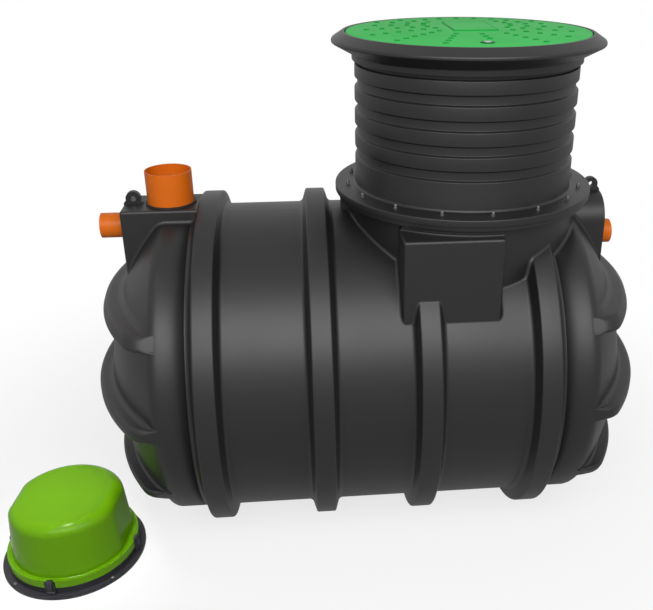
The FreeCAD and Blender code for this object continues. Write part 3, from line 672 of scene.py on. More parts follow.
@dataclass
class DishedEnds:
    """The dished ends, each with three level shelf ribs that blend into it."""

    tank: Tank
    shelf_rise: float = 0.066
    shelf_crown: float = 1.100
    shelf_knuckle: float = 0.110
    shelf_half: float = 0.031
    shelf_spacing: float = 0.365
    shelf_edge: float = 0.020
    shelf_foot: float = 0.030
    foot_share: float = 0.55
    edge_share: float = 0.4
    foot_pull: float = 0.7
    edge_pull: float = 0.7071
    columns: int = 141
    plain_rows: int = 26
    bend_rows: int = 9
    nose_rows: int = 4
    crease: float = 60.0

    def __post_init__(self) -> None:
        """Set out the rays and the outline of the shelf ribs."""
        tank = self.tank
        shift = tank.crown + self.shelf_rise - self.shelf_crown
        self.shelf = Dome(tank.radius - SUNK, self.shelf_crown, self.shelf_knuckle, shift)
        self.base = tank.dome.throat
        self.angle = math.pi / 2 * np.sin(np.linspace(-math.pi / 2, math.pi / 2, self.columns))

    def head(self, height: Array) -> Array:
        """Measure the rays to the plain head at these heights."""
        return self.tank.dome.distance(self.base, height, self.angle)

    def nose(self, height: Array) -> Array:
        """Measure the rays to the shelf ribs' outline, or to the head where that lies further out."""
        return np.maximum(self.shelf.distance(self.base, height, self.angle), self.head(height))

    def plain(self, start: Array, end: Array, steps: int) -> list[Array]:
        """Lay rows on the plain head between two heights, evenly spaced by angle about the tank's axis.

        Args:
            start: lower heights, one for each ray.
            end: upper heights.
            steps: number of rows.

        Returns:
            The heights and lengths of the rays, row by row.
        """
        radius = self.tank.radius
        share = np.linspace(0.0, 1.0, steps)[:, None]
        low, high = np.arcsin(np.clip(start / radius, -1, 1)), np.arcsin(np.clip(end / radius, -1, 1))
        height = radius * np.sin(low * (1 - share) + high * share)
        return [height, self.head(height)]

    def bend(self, start: list[Array], corner: list[Array], end: list[Array], weight: float) -> list[Array]:
        """Round a corner by a weighted quadratic curve from its start to its end.

        Args:
            start: heights and ray lengths where the curve starts.
            corner: those of the corner.
            end: those where it ends.
            weight: pull of the corner.

        Returns:
            The heights and lengths of the rays, row by row.
        """
        share = np.linspace(0.0, 1.0, self.bend_rows)[:, None]
        first, last, pull = (1 - share) ** 2, share ** 2, 2 * weight * share * (1 - share)
        total = first + pull + last
        return [(first * a + pull * b + last * c) / total for a, b, c in zip(start, corner, end)]

    def half_shelf(self, middle: float, side: int) -> tuple[list[Array], Array]:
        """Lay rows over the lower or upper half of a shelf rib.

        The section is a hollow foot, a level flank, a rounded edge and half the nose. Its radii shrink with
        the depth of the shelf towards the sides.

        Args:
            middle: height of the shelf rib's middle above the tank's axis.
            side: -1 for the lower half and 1 for the upper half.

        Returns:
            The rows, from the foot to the middle, and the height where the foot starts.
        """
        level = np.full(self.columns, middle + side * self.shelf_half)
        head, nose = self.head(level), self.nose(level)
        depth = nose - head
        foot = np.minimum(self.shelf_foot, self.foot_share * depth)
        edge = np.minimum(self.shelf_edge, self.edge_share * depth)
        outer = level + side * foot
        inner = level - side * edge
        hollow = self.bend([outer, self.head(outer)], [level, head], [level, head + foot], self.foot_pull)
        shoulder = self.bend([level, nose - edge], [level, nose], [inner, self.nose(inner)], self.edge_pull)
        share = np.linspace(0.0, 1.0, self.nose_rows)[1:, None]
        front = inner * (1 - share) + middle * share
        rows = [np.concatenate(parts) for parts in zip(hollow, shoulder, [front, self.nose(front)])]
        return rows, outer

    def skin(self, flip: int) -> Shape:
        """Lay the end's surface: rays turn from side to side in each row, and rows go from bottom to top.

        Args:
            flip: -1 for the inlet end and 1 for the outlet end.

        Returns:
            The points and faces.
        """
        tank = self.tank
        edge = np.full(self.columns, tank.radius)
        start, parts = -edge, []
        for middle in (-self.shelf_spacing, 0.0, self.shelf_spacing):
            lower, below = self.half_shelf(middle, -1)
            upper, above = self.half_shelf(middle, 1)
            parts += [self.plain(start, below, self.plain_rows), lower, [rows[::-1] for rows in upper]]
            start = above
        parts.append(self.plain(start, edge, self.plain_rows))
        height = np.concatenate([part[0] for part in parts])
        ray = np.concatenate([part[1] for part in parts])
        reach = tank.dish_centre + self.base + ray * np.cos(self.angle)
        side = ray * np.sin(self.angle)
        border = ((0, 0), (1, 1))
        reach = np.pad(reach, border, constant_values=tank.end_plane)
        side, height = np.pad(side, border, mode="edge"), np.pad(height, border, mode="edge")
        points = np.stack([tank.middle + flip * reach, side, tank.axis + height], axis=-1)
        rows, columns = points.shape[:2]
        return points.reshape(-1, 3), grid_faces(rows, columns)

    def build(self) -> None:
        """Add both ends as skins with a wall."""
        ends = (("inlet_dished_end", "left_end", -1), ("outlet_dished_end", "right_end", 1))
        for name, node, flip in ends:
            piece = add_piece(name, self.skin(flip), TANK_BLACK, (node,), crease=self.crease)
            wall = piece.modifiers.new("wall", "SOLIDIFY")
            wall.thickness, wall.offset = self.tank.skin, -1.0


@dataclass
class Mouldings:
    """Boxes, boss and neck on the tank, and the fillets at their feet."""

    tank: Tank
    fillet: float = 0.016
    corner: float = 0.012
    corner_steps: int = 12
    crease: float = 50.0
    wall_step: float = 0.003
    neck_segments: int = 720
    box_inside: float = 0.30
    rib_gap: float = 0.003
    boss_half: float = 0.120
    boss_inside: float = 0.08
    lip_step: float = 0.004
    lip_width: float = 0.030
    lip_depth: float = 0.010
    lip_end: float = 0.002
    lip_rise: float = 0.009
    lip_sunk: float = 0.002
    lip_round: float = 0.006
    lip_segments: int = 48

    def path(self, corners: list[Spot]) -> tuple[Array, Array]:
        """Draw a wall in plan, with its outside on the right of its way.

        Args:
            corners: corners of the wall in plan.

        Returns:
            Evenly spaced points and their outward normals.
        """
        line = rounded([(x, y, self.corner) for x, y in corners], closed=False, steps=self.corner_steps)
        whole = lengths(line)[-1]
        line = points_at(line, np.linspace(0.0, whole, int(whole / self.wall_step)))
        along = np.gradient(line, axis=0)
        normal = np.stack([along[:, 1], -along[:, 0]], axis=-1)
        return line, normal / np.linalg.norm(normal, axis=1, keepdims=True)

    def add_fillet(self, name: str, corners: list[Spot]) -> None:
        """Add the fillet at the foot of a wall."""
        shape = self.tank.foot_fillet(*self.path(corners), self.fillet, False)
        add_piece(name, shape, TANK_BLACK, crease=self.crease)

    def box_lip(self, box: str) -> Shape:
        """Raise a rounded lip on a side box's top, close under the edge of the neck flange.

        A closed section goes round the turret's axis from one side of the box to the other.

        Args:
            box: node of the side box.

        Returns:
            The points and faces, with both ends closed.
        """
        centre, (low, high) = axis_of("riser"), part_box(box)
        flange_low, flange_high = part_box("neck_flange")
        foot, top = float(high[2]) - self.lip_sunk, float(high[2]) + self.lip_rise
        outer, under = float(flange_high[1]) + self.lip_step, float(flange_low[2]) + SUNK
        inner, back = outer - self.lip_width, outer - self.lip_depth
        section = rounded([
            (inner, foot, 0.0),
            (outer, foot, 0.0),
            (outer, top, self.lip_round),
            (back, top, 0.0),
            (back, under, 0.0),
            (inner, under, 0.0),
        ])
        reach = np.array([float(low[0]) + self.lip_end, float(high[0]) - self.lip_end]) - centre[0]
        side = np.sign(float(low[1]) + float(high[1]))
        first, last = np.sort(np.arctan2(side * np.sqrt(outer ** 2 - reach ** 2), reach))
        return turned(section, centre, self.lip_segments, (first, last))

    def build(self) -> None:
        """Dress the mouldings, and add their fillets and lips."""
        TANK_BLACK.dress("neck", "front_box", "back_box", "inlet_box", "outlet_boss", "neck_gusset")
        tank, centre = self.tank, middle_of("riser")[:2]
        angle = np.linspace(0.0, 2 * math.pi, self.neck_segments, endpoint=False)
        normal = np.stack([np.cos(angle), np.sin(angle)], axis=-1)
        low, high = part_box("neck")
        radius = (float(high[1]) - float(low[1])) / 2
        shape = tank.foot_fillet(centre + radius * normal, normal, self.fillet, True)
        add_piece("neck_fillet", shape, TANK_BLACK, crease=self.crease)
        low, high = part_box("front_box")
        left, right, front, inside = float(low[0]), float(high[0]), float(low[1]), -self.box_inside
        wall = [(left, inside), (left, front), (right, front), (right, inside)]
        self.add_fillet("front_box_fillet", wall)
        self.add_fillet("back_box_fillet", [(x, -y) for x, y in reversed(wall)])
        add_piece("front_box_lip", self.box_lip("front_box"), TANK_BLACK, crease=self.crease)
        add_piece("back_box_lip", self.box_lip("back_box"), TANK_BLACK, crease=self.crease)
        low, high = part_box("inlet_box")
        end, side = float(low[0]), float(high[1])
        inner = tank.ribs[0] - tank.foot_half - self.rib_gap
        self.add_fillet("inlet_box_fillet", [(inner, side), (end, side), (end, -side), (inner, -side)])
        end, side = float(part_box("outlet_boss")[1][0]), self.boss_half
        inner = float(centre[0]) + radius - self.boss_inside
        self.add_fillet("outlet_boss_fillet", [(inner, -side), (end, -side), (end, side), (inner, side)])


@dataclass
class Pipes:
    """Drain pipes and the rubber lips that they pass through."""

    def build(self) -> None:
        """Dress the pipes and their seals."""
        PIPE_ORANGE.dress("inlet_pipe", "outlet_pipe", "inspection_pipe")
        SEAL_RUBBER.dress("inlet_seal", "outlet_seal", "inspection_seal")


@dataclass
class LiftingEyes:
    """Lugs with a round head, a hole and a flared foot."""

    head: float = 0.032
    hole: float = 0.012
    half_thickness: float = 0.013
    foot_half: float = 0.042
    foot_height: float = 0.010
    bevel: float = 0.003
    bevel_steps: int = 3
    bevel_angle: float = 40.0
    flare: float = 15.0
    arc_steps: int = 60
    outline_steps: int = 80

    def lug(self, centre: Array, drop: float) -> Shape:
        """Carry a four-cornered section round the hole, from the hole to the outline and back.

        Args:
            centre: middle of the hole.
            drop: height of the hole above the foot's underside.

        Returns:
            The points and faces.
        """
        flare = math.radians(self.flare)
        arc = np.linspace(-flare, math.pi + flare, self.arc_steps)
        top = np.stack([self.head * np.cos(arc), self.head * np.sin(arc)], axis=-1)
        ledge, wide = self.foot_height - drop, self.foot_half
        foot = np.array([(-wide, ledge), (-wide, -drop), (wide, -drop), (wide, ledge)])
        line = np.concatenate([top, foot, top[:1]])
        length = lengths(line)
        even = np.linspace(0.0, length[-1], self.outline_steps)[:-1]
        even = np.unique(np.concatenate([even, length[self.arc_steps:-1]]))
        outer = points_at(line, even)
        inner = self.hole * outer / np.linalg.norm(outer, axis=1, keepdims=True)
        ring = np.stack([inner, outer, outer, inner], axis=1)
        depth = np.broadcast_to(self.half_thickness * np.array([-1.0, -1.0, 1.0, 1.0]), ring.shape[:2])
        points = np.stack([ring[..., 0], depth, ring[..., 1]], axis=-1) + centre
        return points.reshape(-1, 3), grid_faces(len(even), 4, True, True)

    def build(self) -> None:
        """Add both eyes in place of their nodes."""
        for name, node in (("inlet_lifting_eye", "left_eye"), ("outlet_lifting_eye", "right_eye")):
            low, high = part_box(node)
            centre = middle_of(node)
            centre[2] = float(high[2]) - self.head
            piece = add_piece(name, self.lug(centre, float(centre[2] - low[2])), TANK_BLACK, (node,))
            edge = piece.modifiers.new("edge", "BEVEL")
            edge.width, edge.segments, edge.limit_method = self.bevel, self.bevel_steps, "ANGLE"
            edge.angle_limit = math.radians(self.bevel_angle)


@dataclass
class Turret:
    """Neck flange, riser and flange bolts."""

    flange: float = 0.552
    bore: float = 0.449
    riser: float = 0.475
    riser_flange: float = 0.565
    riser_flange_height: float = 0.030
    riser_flange_edges: Spot = (0.003, 0.005)
    flange_bore: float = 0.479
    flange_edges: Spot = (0.005, 0.004)
    groove: float = 0.463
    slope: float = 0.006
    skirt_top: float = 1.702
    groove_width: float = 0.045
    pitch: float = 0.098
    grooves: int = 4
    edge: float = 0.0035
    groove_edge: float = 0.00245
    fillet: float = 0.012
    arc_steps: int = 5
    bolts: int = 16
    bolt_circle: float = 0.513
    first_bolt: float = 3.6
    bolt_crease: float = 25.0
    washer: float = 0.0095
    washer_top: float = 0.0015
    washer_sides: int = 14
    nut: float = 0.0080
    nut_sides: int = 6
    nut_top: float = 0.008
    nut_edge: float = 0.001
    cap: float = 0.0065
    cap_top: float = 0.020
    cap_round: float = 0.006
    cap_sides: int = 12

    def __post_init__(self) -> None:
        """Take the axis and the heights from the CAD nodes."""
        self.centre = axis_of("riser")
        self.flange_base = heights_of("neck_flange")[0]
        self.base, self.top = heights_of("riser")
        self.seat = self.base + self.riser_flange_height

    def riser_section(self) -> Array:
        """Draw the riser's wall: flange, skirt, then grooves with sloped edges and crests between.

        Returns:
            The radius and height of each point.
        """
        edge = self.edge
        corners = [
            (self.bore, self.base, 0.0),
            (self.riser_flange, self.base, self.riser_flange_edges[0]),
            (self.riser_flange, self.seat, self.riser_flange_edges[1]),
            (self.riser, self.seat, self.fillet),
        ]
        for number in range(self.grooves):
            foot = self.skirt_top + number * self.pitch
            crest = foot + self.groove_width
            corners += [
                (self.riser, foot, edge),
                (self.groove, foot + self.slope, self.groove_edge),
                (self.groove, crest - self.slope, self.groove_edge),
                (self.riser, crest, edge),
            ]
        corners += [(self.riser, self.top, edge), (self.bore, self.top, 0.0)]
        return rounded(corners, steps=self.arc_steps)

    def flange_section(self) -> Array:
        """Draw the neck flange with rounded outer edges.

        Returns:
            The radius and height of each point.
        """
        corners = [
            (self.flange_bore, self.flange_base, 0.0),
            (self.flange, self.flange_base, self.flange_edges[0]),
            (self.flange, self.base, self.flange_edges[1]),
            (self.flange_bore, self.base, 0.0),
        ]
        return rounded(corners, steps=self.arc_steps)

    def bolt(self) -> Shape:
        """Make a flange bolt: washer, six-sided nut and its domed cap, each turned from a section.

        Returns:
            The points and faces.
        """
        low, high, edge = self.washer_top, self.nut_top, self.nut_edge
        washer = np.array([(0.0, 0.0), (self.washer, 0.0), (self.washer, low), (0.0, low)])
        side = [(self.nut, low), (self.nut, high - edge), (self.nut - edge, high)]
        nut = np.array([(0.0, low), *side, (0.0, high)])
        dome = [(self.cap, high, 0.0), (self.cap, self.cap_top, self.cap_round)]
        cap = rounded([(0.0, high, 0.0), *dome, (0.0, self.cap_top, 0.0)], steps=self.arc_steps)
        return joined(
            turned(washer, ORIGIN, self.washer_sides),
            turned(nut, ORIGIN, self.nut_sides),
            turned(cap, ORIGIN, self.cap_sides),
        )

    def build(self) -> None:
        """Add the flange, the riser and the ring of bolts."""
        flange = turned(self.flange_section(), self.centre, RING_SEGMENTS)
        add_piece("neck_flange_ring", flange, TANK_BLACK, ("neck_flange",))
        shaft = turned(self.riser_section(), self.centre, RING_SEGMENTS)
        add_piece("riser_shaft", shaft, TANK_BLACK, ("riser",))
        angle = math.radians(self.first_bolt) + np.arange(self.bolts) * 2 * math.pi / self.bolts
        x = self.centre[0] + self.bolt_circle * np.cos(angle)
        y = self.centre[1] + self.bolt_circle * np.sin(angle)
        places = np.stack([x, y, np.full(self.bolts, self.seat)], axis=-1)
        bolts = repeated(self.bolt(), places, angle)
        add_piece("flange_bolt_ring", bolts, BOLT_STEEL, ("flange_bolts",), crease=self.bolt_crease)


@dataclass
class Lid:
    """The flared lid frame, and the lid with its studs, plain panel and lock; the studs and a thin ring
    over the panel's edge are darkened with painted shade.
    """

    rim: float = 0.571
    collar: float = 0.486
    band: float = 0.460
    spigot: float = 0.4487
    bore: float = 0.4367
    seat: float = 0.5143
    brow: float = 0.5263
    band_foot: float = 0.050
    collar_foot: float = 0.066
    collar_top: float = 0.092
    rim_foot: float = 0.138
    rim_top: float = 0.150
    ledge: float = 0.036
    ledge_depth: float = 0.024
    radius: float = 0.5105
    edge: float = 0.005
    segments: int = 160
    panel_half: Spot = (0.097, 0.165)
    panel_middle: Spot = (0.033, 0.135)
    panel_corner: float = 0.012
    panel_slope: float = 0.003
    shade_ring_inside: float = 0.006
    shade_ring_over: float = 0.0006
    shade_ring_slope: float = 0.0026
    shade_ring_proud: float = 0.0003
    hub: Spot = (0.033, 0.193)
    relief: float = 0.004
    stud: float = 0.012
    spokes: int = 20
    first_stud: float = 0.192
    last_stud: float = 0.475
    stud_step: float = 0.071
    stud_rows: int = 10
    stud_sides: int = 10
    stud_crease: float = 30.0
    panel_crease: float = 20.0
    bare: float = 0.025
    front_bare: float = 0.090
    lock_bare: float = 0.080
    lock_bore: float = 0.015
    lock_foot: float = 0.030
    lock_top: float = 0.027
    lock_height: float = 0.003
    lock_edge: float = 0.001
    lock_segments: int = 32

    def __post_init__(self) -> None:
        """Take the axis and the heights from the CAD nodes."""
        self.centre = axis_of("lid")
        self.base, self.top = heights_of("lid")
        self.foot = heights_of("lid_frame")[0]

    def frame_section(self) -> Array:
        """Draw the lid frame: spigot, band, collar, flare, rim, slope and the seat of the lid.

        Each corner is a radius, a height and how round the corner is.

        Returns:
            The radius and height of each point.
        """
        foot, ledge = self.foot, self.seat - self.ledge
        corners = [
            (self.bore, foot, 0.0),
            (self.spigot, foot, 0.002),
            (self.spigot, foot + self.band_foot, 0.0),
            (self.band, foot + self.band_foot, 0.002),
            (self.band, foot + self.collar_foot, 0.003),
            (self.collar, foot + self.collar_foot, 0.004),
            (self.collar, foot + self.collar_top, 0.010),
            (self.rim, foot + self.rim_foot, 0.006),
            (self.rim, foot + self.rim_top, 0.010),
            (self.brow, self.top, 0.005),
            (self.seat, self.top, 0.002),
            (self.seat, self.base, 0.0),
            (ledge, self.base, 0.0),
            (ledge, self.base - self.ledge_depth, 0.0),
            (self.bore, foot + self.collar_top, 0.0),
        ]
        return rounded(corners)

    def disc(self) -> Shape:
        """Turn the lid's disc, with a rounded upper edge.

        Returns:
            The points and faces.
        """
        side = [(self.radius, self.base, 0.0), (self.radius, self.top, self.edge)]
        section = rounded([(0.0, self.base, 0.0), *side, (0.0, self.top, 0.0)])
        return turned(section, self.centre, self.segments)

    def studs(self) -> Shape:
        """Set low round studs on spokes round a hub, clear of the panel, the lock and the lid's edge.

        A stud stands a whole number of steps out from the first, along the cosine and sine of its spoke's
        angle.

        Returns:
            The points and faces of all studs.
        """
        section = np.array([(0.0, -SUNK), (1.0, -SUNK), (1.0, 0.4), (0.8, 0.9), (0.0, 1.0)])
        turn = np.arange(self.spokes) * (2 * math.pi / self.spokes)
        angle, count = (values.ravel() for values in np.meshgrid(turn, np.arange(self.stud_rows)))
        reach = self.first_stud + self.stud_step * count
        x, y = self.hub[0] + reach * np.cos(angle), self.hub[1] + reach * np.sin(angle)
        beside = np.abs(x - self.panel_middle[0]) > self.panel_half[0] + self.bare
        beyond = np.abs(y - self.panel_middle[1]) > self.panel_half[1] + self.front_bare
        lock = middle_of("lid_lock")[:2] - self.centre
        clear = np.hypot(x - lock[0], y - lock[1]) > self.lock_bare
        kept = (beside | beyond) & clear & (np.hypot(x, y) < self.last_stud)
        x, y = x[kept], y[kept]
        places = np.stack([self.centre[0] + x, self.centre[1] + y, np.full(x.shape, self.top)], axis=-1)
        stud = turned(section * [self.stud, self.relief], ORIGIN, self.stud_sides)
        return repeated(stud, places, np.zeros(len(x)))

    def panel_rings(self, levels: list[Spot]) -> Array:
        """Stack outlines of the panel.

        Each outline is a rounded rectangle in plan, grown outwards by so much and lifted to its height.

        Args:
            levels: growth and height above the lid of each outline.

        Returns:
            The points, by place along the outline and by level.
        """
        rings, corner = [], self.panel_corner
        for grow, height in levels:
            wide, deep = self.panel_half[0] + grow, self.panel_half[1] + grow
            front = [(-wide, -deep, corner), (wide, -deep, corner)]
            line = rounded([*front, (wide, deep, corner), (-wide, deep, corner)])
            line = line + np.array(self.panel_middle) + np.array(self.centre)
            rings.append(np.column_stack([line, np.full(len(line), self.top + height)]))
        return np.stack(rings, axis=1)

    def plate(self) -> Shape:
        """Make the plain raised panel, with a sloped edge and closed ends.

        Returns:
            The points and faces.
        """
        points = self.panel_rings([(0.0, -SUNK), (-self.panel_slope, self.relief)])
        order = np.arange(2 * len(points)).reshape(-1, 2)
        ends = [order[::-1, 0].tolist(), order[:, 1].tolist()]
        return points.reshape(-1, 3), grid_faces(len(points), 2, True, False) + ends

    def painted_shade_ring(self) -> Shape:
        """Make a thin ring of painted shade over the panel's slope, which darkens the panel's edge.

        Returns:
            The points and faces.
        """
        inside, high = -self.shade_ring_inside, self.relief + self.shade_ring_proud
        outside = [(self.shade_ring_over, -SUNK), (-self.shade_ring_slope, high)]
        points = self.panel_rings([(inside, -SUNK), *outside, (inside, high)])
        return points.reshape(-1, 3), grid_faces(len(points), 4, True, True)

    def build(self) -> None:
        """Add the frame and the lid, and dress the lock."""
        ring = turned(self.frame_section(), self.centre, RING_SEGMENTS)
        add_piece("lid_frame_ring", ring, TANK_BLACK, ("lid_frame",))
        add_piece("lid_disc", self.disc(), LID_GREEN, ("lid",))
        # The studs are in the darker green of painted shade.
        add_piece("lid_studs", self.studs(), LID_PAINTED_SHADE_GREEN, crease=self.stud_crease)
        add_piece("lid_panel", self.plate(), LID_GREEN, crease=self.panel_crease)
        # A thin ring of painted shade darkens the panel's sloped edge.
        add_piece("lid_panel_painted_shade_ring", self.painted_shade_ring(), LID_PAINTED_SHADE_GREEN, crease=self.panel_crease)
        LOCK_STEEL.dress("lid_lock")
        foot = [(self.lock_bore, -SUNK, 0.0), (self.lock_foot, -SUNK, 0.0)]
        high, edge = self.lock_height, self.lock_edge
        section = rounded([*foot, (self.lock_top, high, edge), (self.lock_bore, high, edge)])
        lock = turned(section + [0.0, self.top], axis_of("lid_lock"), self.lock_segments)
        add_piece("lock_ring", lock, LOCK_GREEN)


@dataclass
class Blower:
    """The blower housing: base, cover, bead, toggle clips and fixing screws."""

    wall: float = 0.262
    corner: float = 0.070
    flat: float = 0.247
    flat_angle: float = -5.0
    lip: float = 0.283
    outline_steps: int = 360
    bead: float = 0.003
    bead_out: float = 0.007
    bead_steps: int = 8
    plate: float = 0.012
    clip_half: float = 0.022
    clip_angle: float = -7.0
    clip_over: float = 0.0045
    rail: float = 0.007
    rail_back: float = 0.004
    rail_edge: float = 0.0015
    cross: float = 0.008
    hook_inset: float = 0.008
    lever_inset: float = 0.009
    lever_edge: float = 0.004
    bar_inset: float = 0.004
    bar_edge: float = 0.003
    fixing_circle: float = 0.293
    screw_sides: int = 14
    screw_crease: float = 50.0

    def __post_init__(self) -> None:
        """Take the axis and the heights from the CAD nodes."""
        self.centre = middle_of("blower_base")
        self.centre[2] = 0.0
        self.clip_foot, clip_top = heights_of("clip_1")
        self.ledge = clip_top - self.clip_over

    def outline(self, out: float) -> Array:
        """Draw the foot of the cover's wall: a circle with two flats and rounded corners between.

        A point has the outward normal of its angle. On the circle it lies at the wall's radius, and on a
        corner at the corner's radius from the corner's centre. A flat joins its two corners.

        Args:
            out: how far outside the wall the line runs.

        Returns:
            Points in plan about the housing's axis.
        """
        middle = math.radians(self.flat_angle)
        angle = np.linspace(0.0, 2 * math.pi, self.outline_steps, endpoint=False) + middle + 1e-4
        turn = (angle - middle + math.pi / 2) % math.pi - math.pi / 2
        hub = self.wall - self.corner
        limit = math.acos((self.flat - self.corner) / hub)
        facing = angle - turn + np.sign(turn) * limit
        radius = np.where(np.abs(turn) < limit, self.corner, self.wall)
        start = np.where(np.abs(turn) < limit, hub, 0.0)
        x = start * np.cos(facing) + (radius + out) * np.cos(angle)
        y = start * np.sin(facing) + (radius + out) * np.sin(angle)
        return np.stack([x, y], axis=-1)

    def bead_ring(self) -> Shape:
        """Carry a small circle along the foot of the cover's wall.

        Returns:
            The points and faces.
        """
        turn = np.linspace(0.0, 2 * math.pi, self.bead_steps, endpoint=False)
        rings = [self.outline(self.bead_out + self.bead * math.cos(step)) for step in turn]
        height = np.broadcast_to(self.ledge + self.bead * np.sin(turn), (len(rings[0]), len(turn)))
        plan = np.stack(rings, axis=1)
        points = np.concatenate([plan, height[..., None]], axis=-1) + self.centre
        return points.reshape(-1, 3), grid_faces(len(rings[0]), len(turn), True, True)

    def clip(self) -> tuple[Shape, Shape]:
        """Make a toggle clip, standing at the front of the lip.

        Two rails and a cross piece frame it, a hook reaches over the lip, and a lever lies in front.

        Returns:
            The dark frame and lever, and the bright bar at their foot.
        """
        half, face, low, ledge = self.clip_half, -self.lip, self.clip_foot, self.ledge
        rail, front, back = self.rail, face - self.rail, face + self.rail_back
        hook, lever, foot = half - self.hook_inset, half - self.lever_inset, half - self.bar_inset
        soft, thick = self.rail_edge, self.lever_edge
        dark = joined(
            block((-half, front, low), (rail - half, back, ledge), soft),
            block((half - rail, front, low), (half, back, ledge), soft),
            block((-half, front, ledge - self.cross), (half, back, ledge), soft),
            block((-hook, face - 0.009, ledge - 0.002), (hook, face + 0.008, ledge + 0.0044), soft),
            block((-lever, face - 0.013, low + 0.012), (lever, face + 0.002, ledge - 0.002), thick),
        )
        bar = block((-foot, face - 0.008, low + 0.001), (foot, face - 0.001, low + 0.007), self.bar_edge)
        return dark, bar

    def screws(self) -> Shape:
        """Set a pan-headed screw over each fixing hole.

        Returns:
            The points and faces.
        """
        section = np.array([(0.0, 0.0), (0.009, 0.0), (0.0085, 0.003), (0.006, 0.005), (0.0, 0.0058)])
        angle = math.pi / 4 + np.arange(4) * math.pi / 2
        around = np.stack([np.cos(angle), np.sin(angle), np.zeros(4)], axis=-1) * self.fixing_circle
        screw = turned(section, ORIGIN, self.screw_sides)
        return repeated(screw, self.centre + around + [0.0, 0.0, self.plate], angle)

    def build(self) -> None:
        """Dress the base and cover, and add the bead, clips and screws."""
        BASE_DARK.dress("blower_base")
        COVER_GREEN.dress("blower_cover")
        add_piece("cover_bead", self.bead_ring(), COVER_GREEN)
        dark, bright = self.clip()
        place = self.centre[None, :]
        for number in range(1, 5):
            turn = np.array([math.radians(self.clip_angle) + (number - 1) * math.pi / 2])
            clip = repeated(dark, place, turn)
            add_piece(f"toggle_clip_{number}", clip, BASE_DARK, (f"clip_{number}",))
            add_piece(f"clip_bar_{number}", repeated(bright, place, turn), BOLT_STEEL)
        add_piece("fixing_screws", self.screws(), BOLT_STEEL, crease=self.screw_crease)


@dataclass(frozen=True)
class Lamp:
    """A rectangular soft light.

    Attributes:
        name: name of the light.
        place: where it hangs.
        aim: point that it faces.
        size: width and height.
        power: watts.
        beam: full angle of the beam, in degrees.
    """

    name: str
    place: Place
    aim: Place
    size: Spot
    power: float
    beam: float = 180.0

    def hang(self) -> None:
        """Put the light into the scene, turned from its place to its aim."""
        data = bpy.data.lights.new(self.name, "AREA")
        data.shape = "RECTANGLE"
        data.size, data.size_y = self.size
        data.energy, data.spread = self.power, math.radians(self.beam)
        piece = bpy.data.objects.new(self.name, data)
        x, y, z = np.array(self.aim) - np.array(self.place)
        rise = math.atan2(z, math.hypot(x, y))
        piece.location = self.place
        piece.rotation_euler = (math.pi / 2 + rise, 0.0, math.atan2(y, x) - math.pi / 2)
        bpy.context.scene.collection.objects.link(piece)


LAMPS = (
    Lamp("front_light", (0.2, -4.6, 4.6), (0.2, 0.0, 0.8), (7.0, 3.4), 315.0),
    Lamp("housing_light", (-1.30, -0.65, 3.0), (-1.20, -0.47, 0.2), (0.5, 0.5), 1.4, beam=24.0),
)


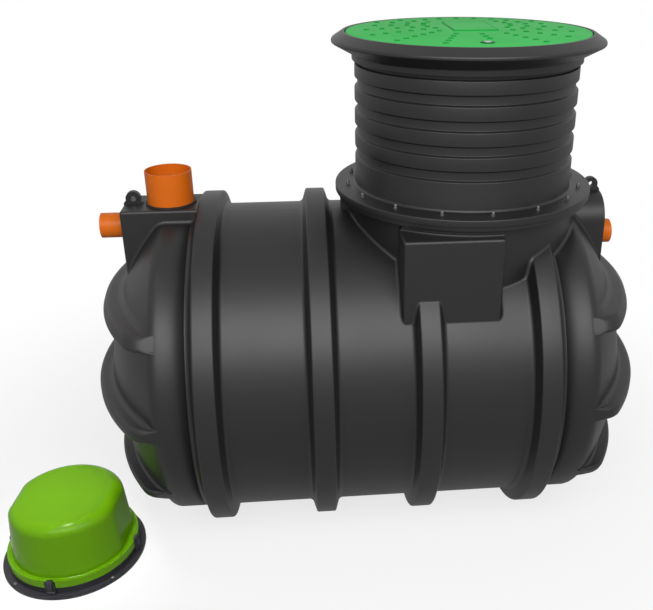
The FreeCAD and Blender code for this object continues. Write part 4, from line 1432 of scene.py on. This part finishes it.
@dataclass
class Studio:
    """Floor, light and camera around the plant."""

    lens: float = 44.8
    sensor: float = 36.0
    shift: Spot = (-0.081, -0.0245)
    place: Place = (-0.0334, -3.4884, 2.6290)
    pitch: float = 65.773
    yaw: float = -5.264
    floor_half: float = 14.0
    floor_pale: float = 0.4
    floor_mirrored: float = 0.35
    glow_near: float = 0.75
    near: float = 1.0
    far: float = 3.2
    sky_light: float = 0.20
    sky_mirrored: float = 0.75

    def floor_white(self) -> bpy.types.Material:
        """Make the floor's material, which shows white to the camera and keeps soft shadows.

        Returns:
            The material, a mix of a matt surface and an even glow that grows away from the plant.
        """
        made = bpy.data.materials.new("floor_white")
        made.use_nodes = True
        tree = made.node_tree
        nodes, links = tree.nodes, tree.links
        nodes.clear()
        matt, glow = nodes.new("ShaderNodeBsdfDiffuse"), nodes.new("ShaderNodeEmission")
        place, away = nodes.new("ShaderNodeTexCoord"), nodes.new("ShaderNodeVectorMath")
        away.operation = "LENGTH"
        links.new(place.outputs["Object"], away.inputs[0])
        share = nodes.new("ShaderNodeMapRange")
        share.interpolation_type = "SMOOTHSTEP"
        settle(share, {"From Min": self.near, "From Max": self.far, "To Min": self.glow_near})
        links.new(away.outputs["Value"], share.inputs["Value"])
        rays = nodes.new("ShaderNodeLightPath").outputs
        seen = reckon(tree, "MAXIMUM", rays["Is Camera Ray"], rays["Is Transmission Ray"])
        both = reckon(tree, "MULTIPLY_ADD", rays["Is Glossy Ray"], self.floor_mirrored, seen)
        level = reckon(tree, "MULTIPLY", both, share.outputs["Result"])
        pale = nodes.new("ShaderNodeMapRange")
        settle(pale, {"To Min": self.floor_pale, "To Max": 1.0})
        links.new(rays["Is Camera Ray"], pale.inputs["Value"])
        links.new(pale.outputs["Result"], matt.inputs["Color"])
        mix, out = nodes.new("ShaderNodeMixShader"), nodes.new("ShaderNodeOutputMaterial")
        links.new(level, mix.inputs["Fac"])
        links.new(matt.outputs["BSDF"], mix.inputs[1])
        links.new(glow.outputs["Emission"], mix.inputs[2])
        links.new(mix.outputs["Shader"], out.inputs["Surface"])
        return made

    def floor(self) -> None:
        """Lay the floor."""
        half = self.floor_half
        corners = [(-half, -half, 0), (half, -half, 0), (half, half, 0), (-half, half, 0)]
        mesh = bpy.data.meshes.new("floor")
        mesh.from_pydata(corners, [], [(0, 1, 2, 3)])
        mesh.materials.append(self.floor_white())
        piece = bpy.data.objects.new("floor", mesh)
        bpy.context.scene.collection.objects.link(piece)

    def sky(self) -> None:
        """Surround the scene with soft grey light that the camera sees as white."""
        world = bpy.data.worlds.new("studio")
        bpy.context.scene.world = world
        world.use_nodes = True
        nodes, links = world.node_tree.nodes, world.node_tree.links
        light = nodes["Background"]
        light.inputs["Color"].default_value = (1.0, 1.0, 1.0, 1.0)
        rays, shine = nodes.new("ShaderNodeLightPath").outputs, nodes.new("ShaderNodeMapRange")
        settle(shine, {"To Min": self.sky_light, "To Max": self.sky_mirrored})
        links.new(rays["Is Glossy Ray"], shine.inputs["Value"])
        level = reckon(world.node_tree, "MAXIMUM", rays["Is Camera Ray"], shine.outputs["Result"])
        links.new(level, light.inputs["Strength"])

    def camera(self) -> None:
        """Stand the camera at the photograph's place, framed a little wider at the lower left."""
        data = bpy.data.cameras.new("camera")
        data.sensor_fit, data.sensor_width, data.lens = "HORIZONTAL", self.sensor, self.lens
        data.shift_x, data.shift_y = self.shift
        piece = bpy.data.objects.new("camera", data)
        piece.location = self.place
        piece.rotation_euler = (math.radians(self.pitch), 0.0, math.radians(self.yaw))
        bpy.context.scene.collection.objects.link(piece)
        bpy.context.scene.camera = piece

    def build(self) -> None:
        """Set up the floor, the light and the camera."""
        self.floor()
        self.sky()
        for lamp in LAMPS:
            lamp.hang()
        self.camera()
        bpy.context.scene.view_settings.view_transform = "Standard"


def main() -> None:
    """Build the plant's pieces in order, then the studio."""
    logging.basicConfig(level=logging.INFO, format="%(message)s")
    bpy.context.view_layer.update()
    tank = Tank()
    vessel = (HoopRibs(tank), DishedEnds(tank), Mouldings(tank), Pipes(), LiftingEyes())
    for assembly in (*vessel, Turret(), Lid(), Blower()):
        assembly.build()
    Studio().build()


if __name__ == "__main__":
    main()
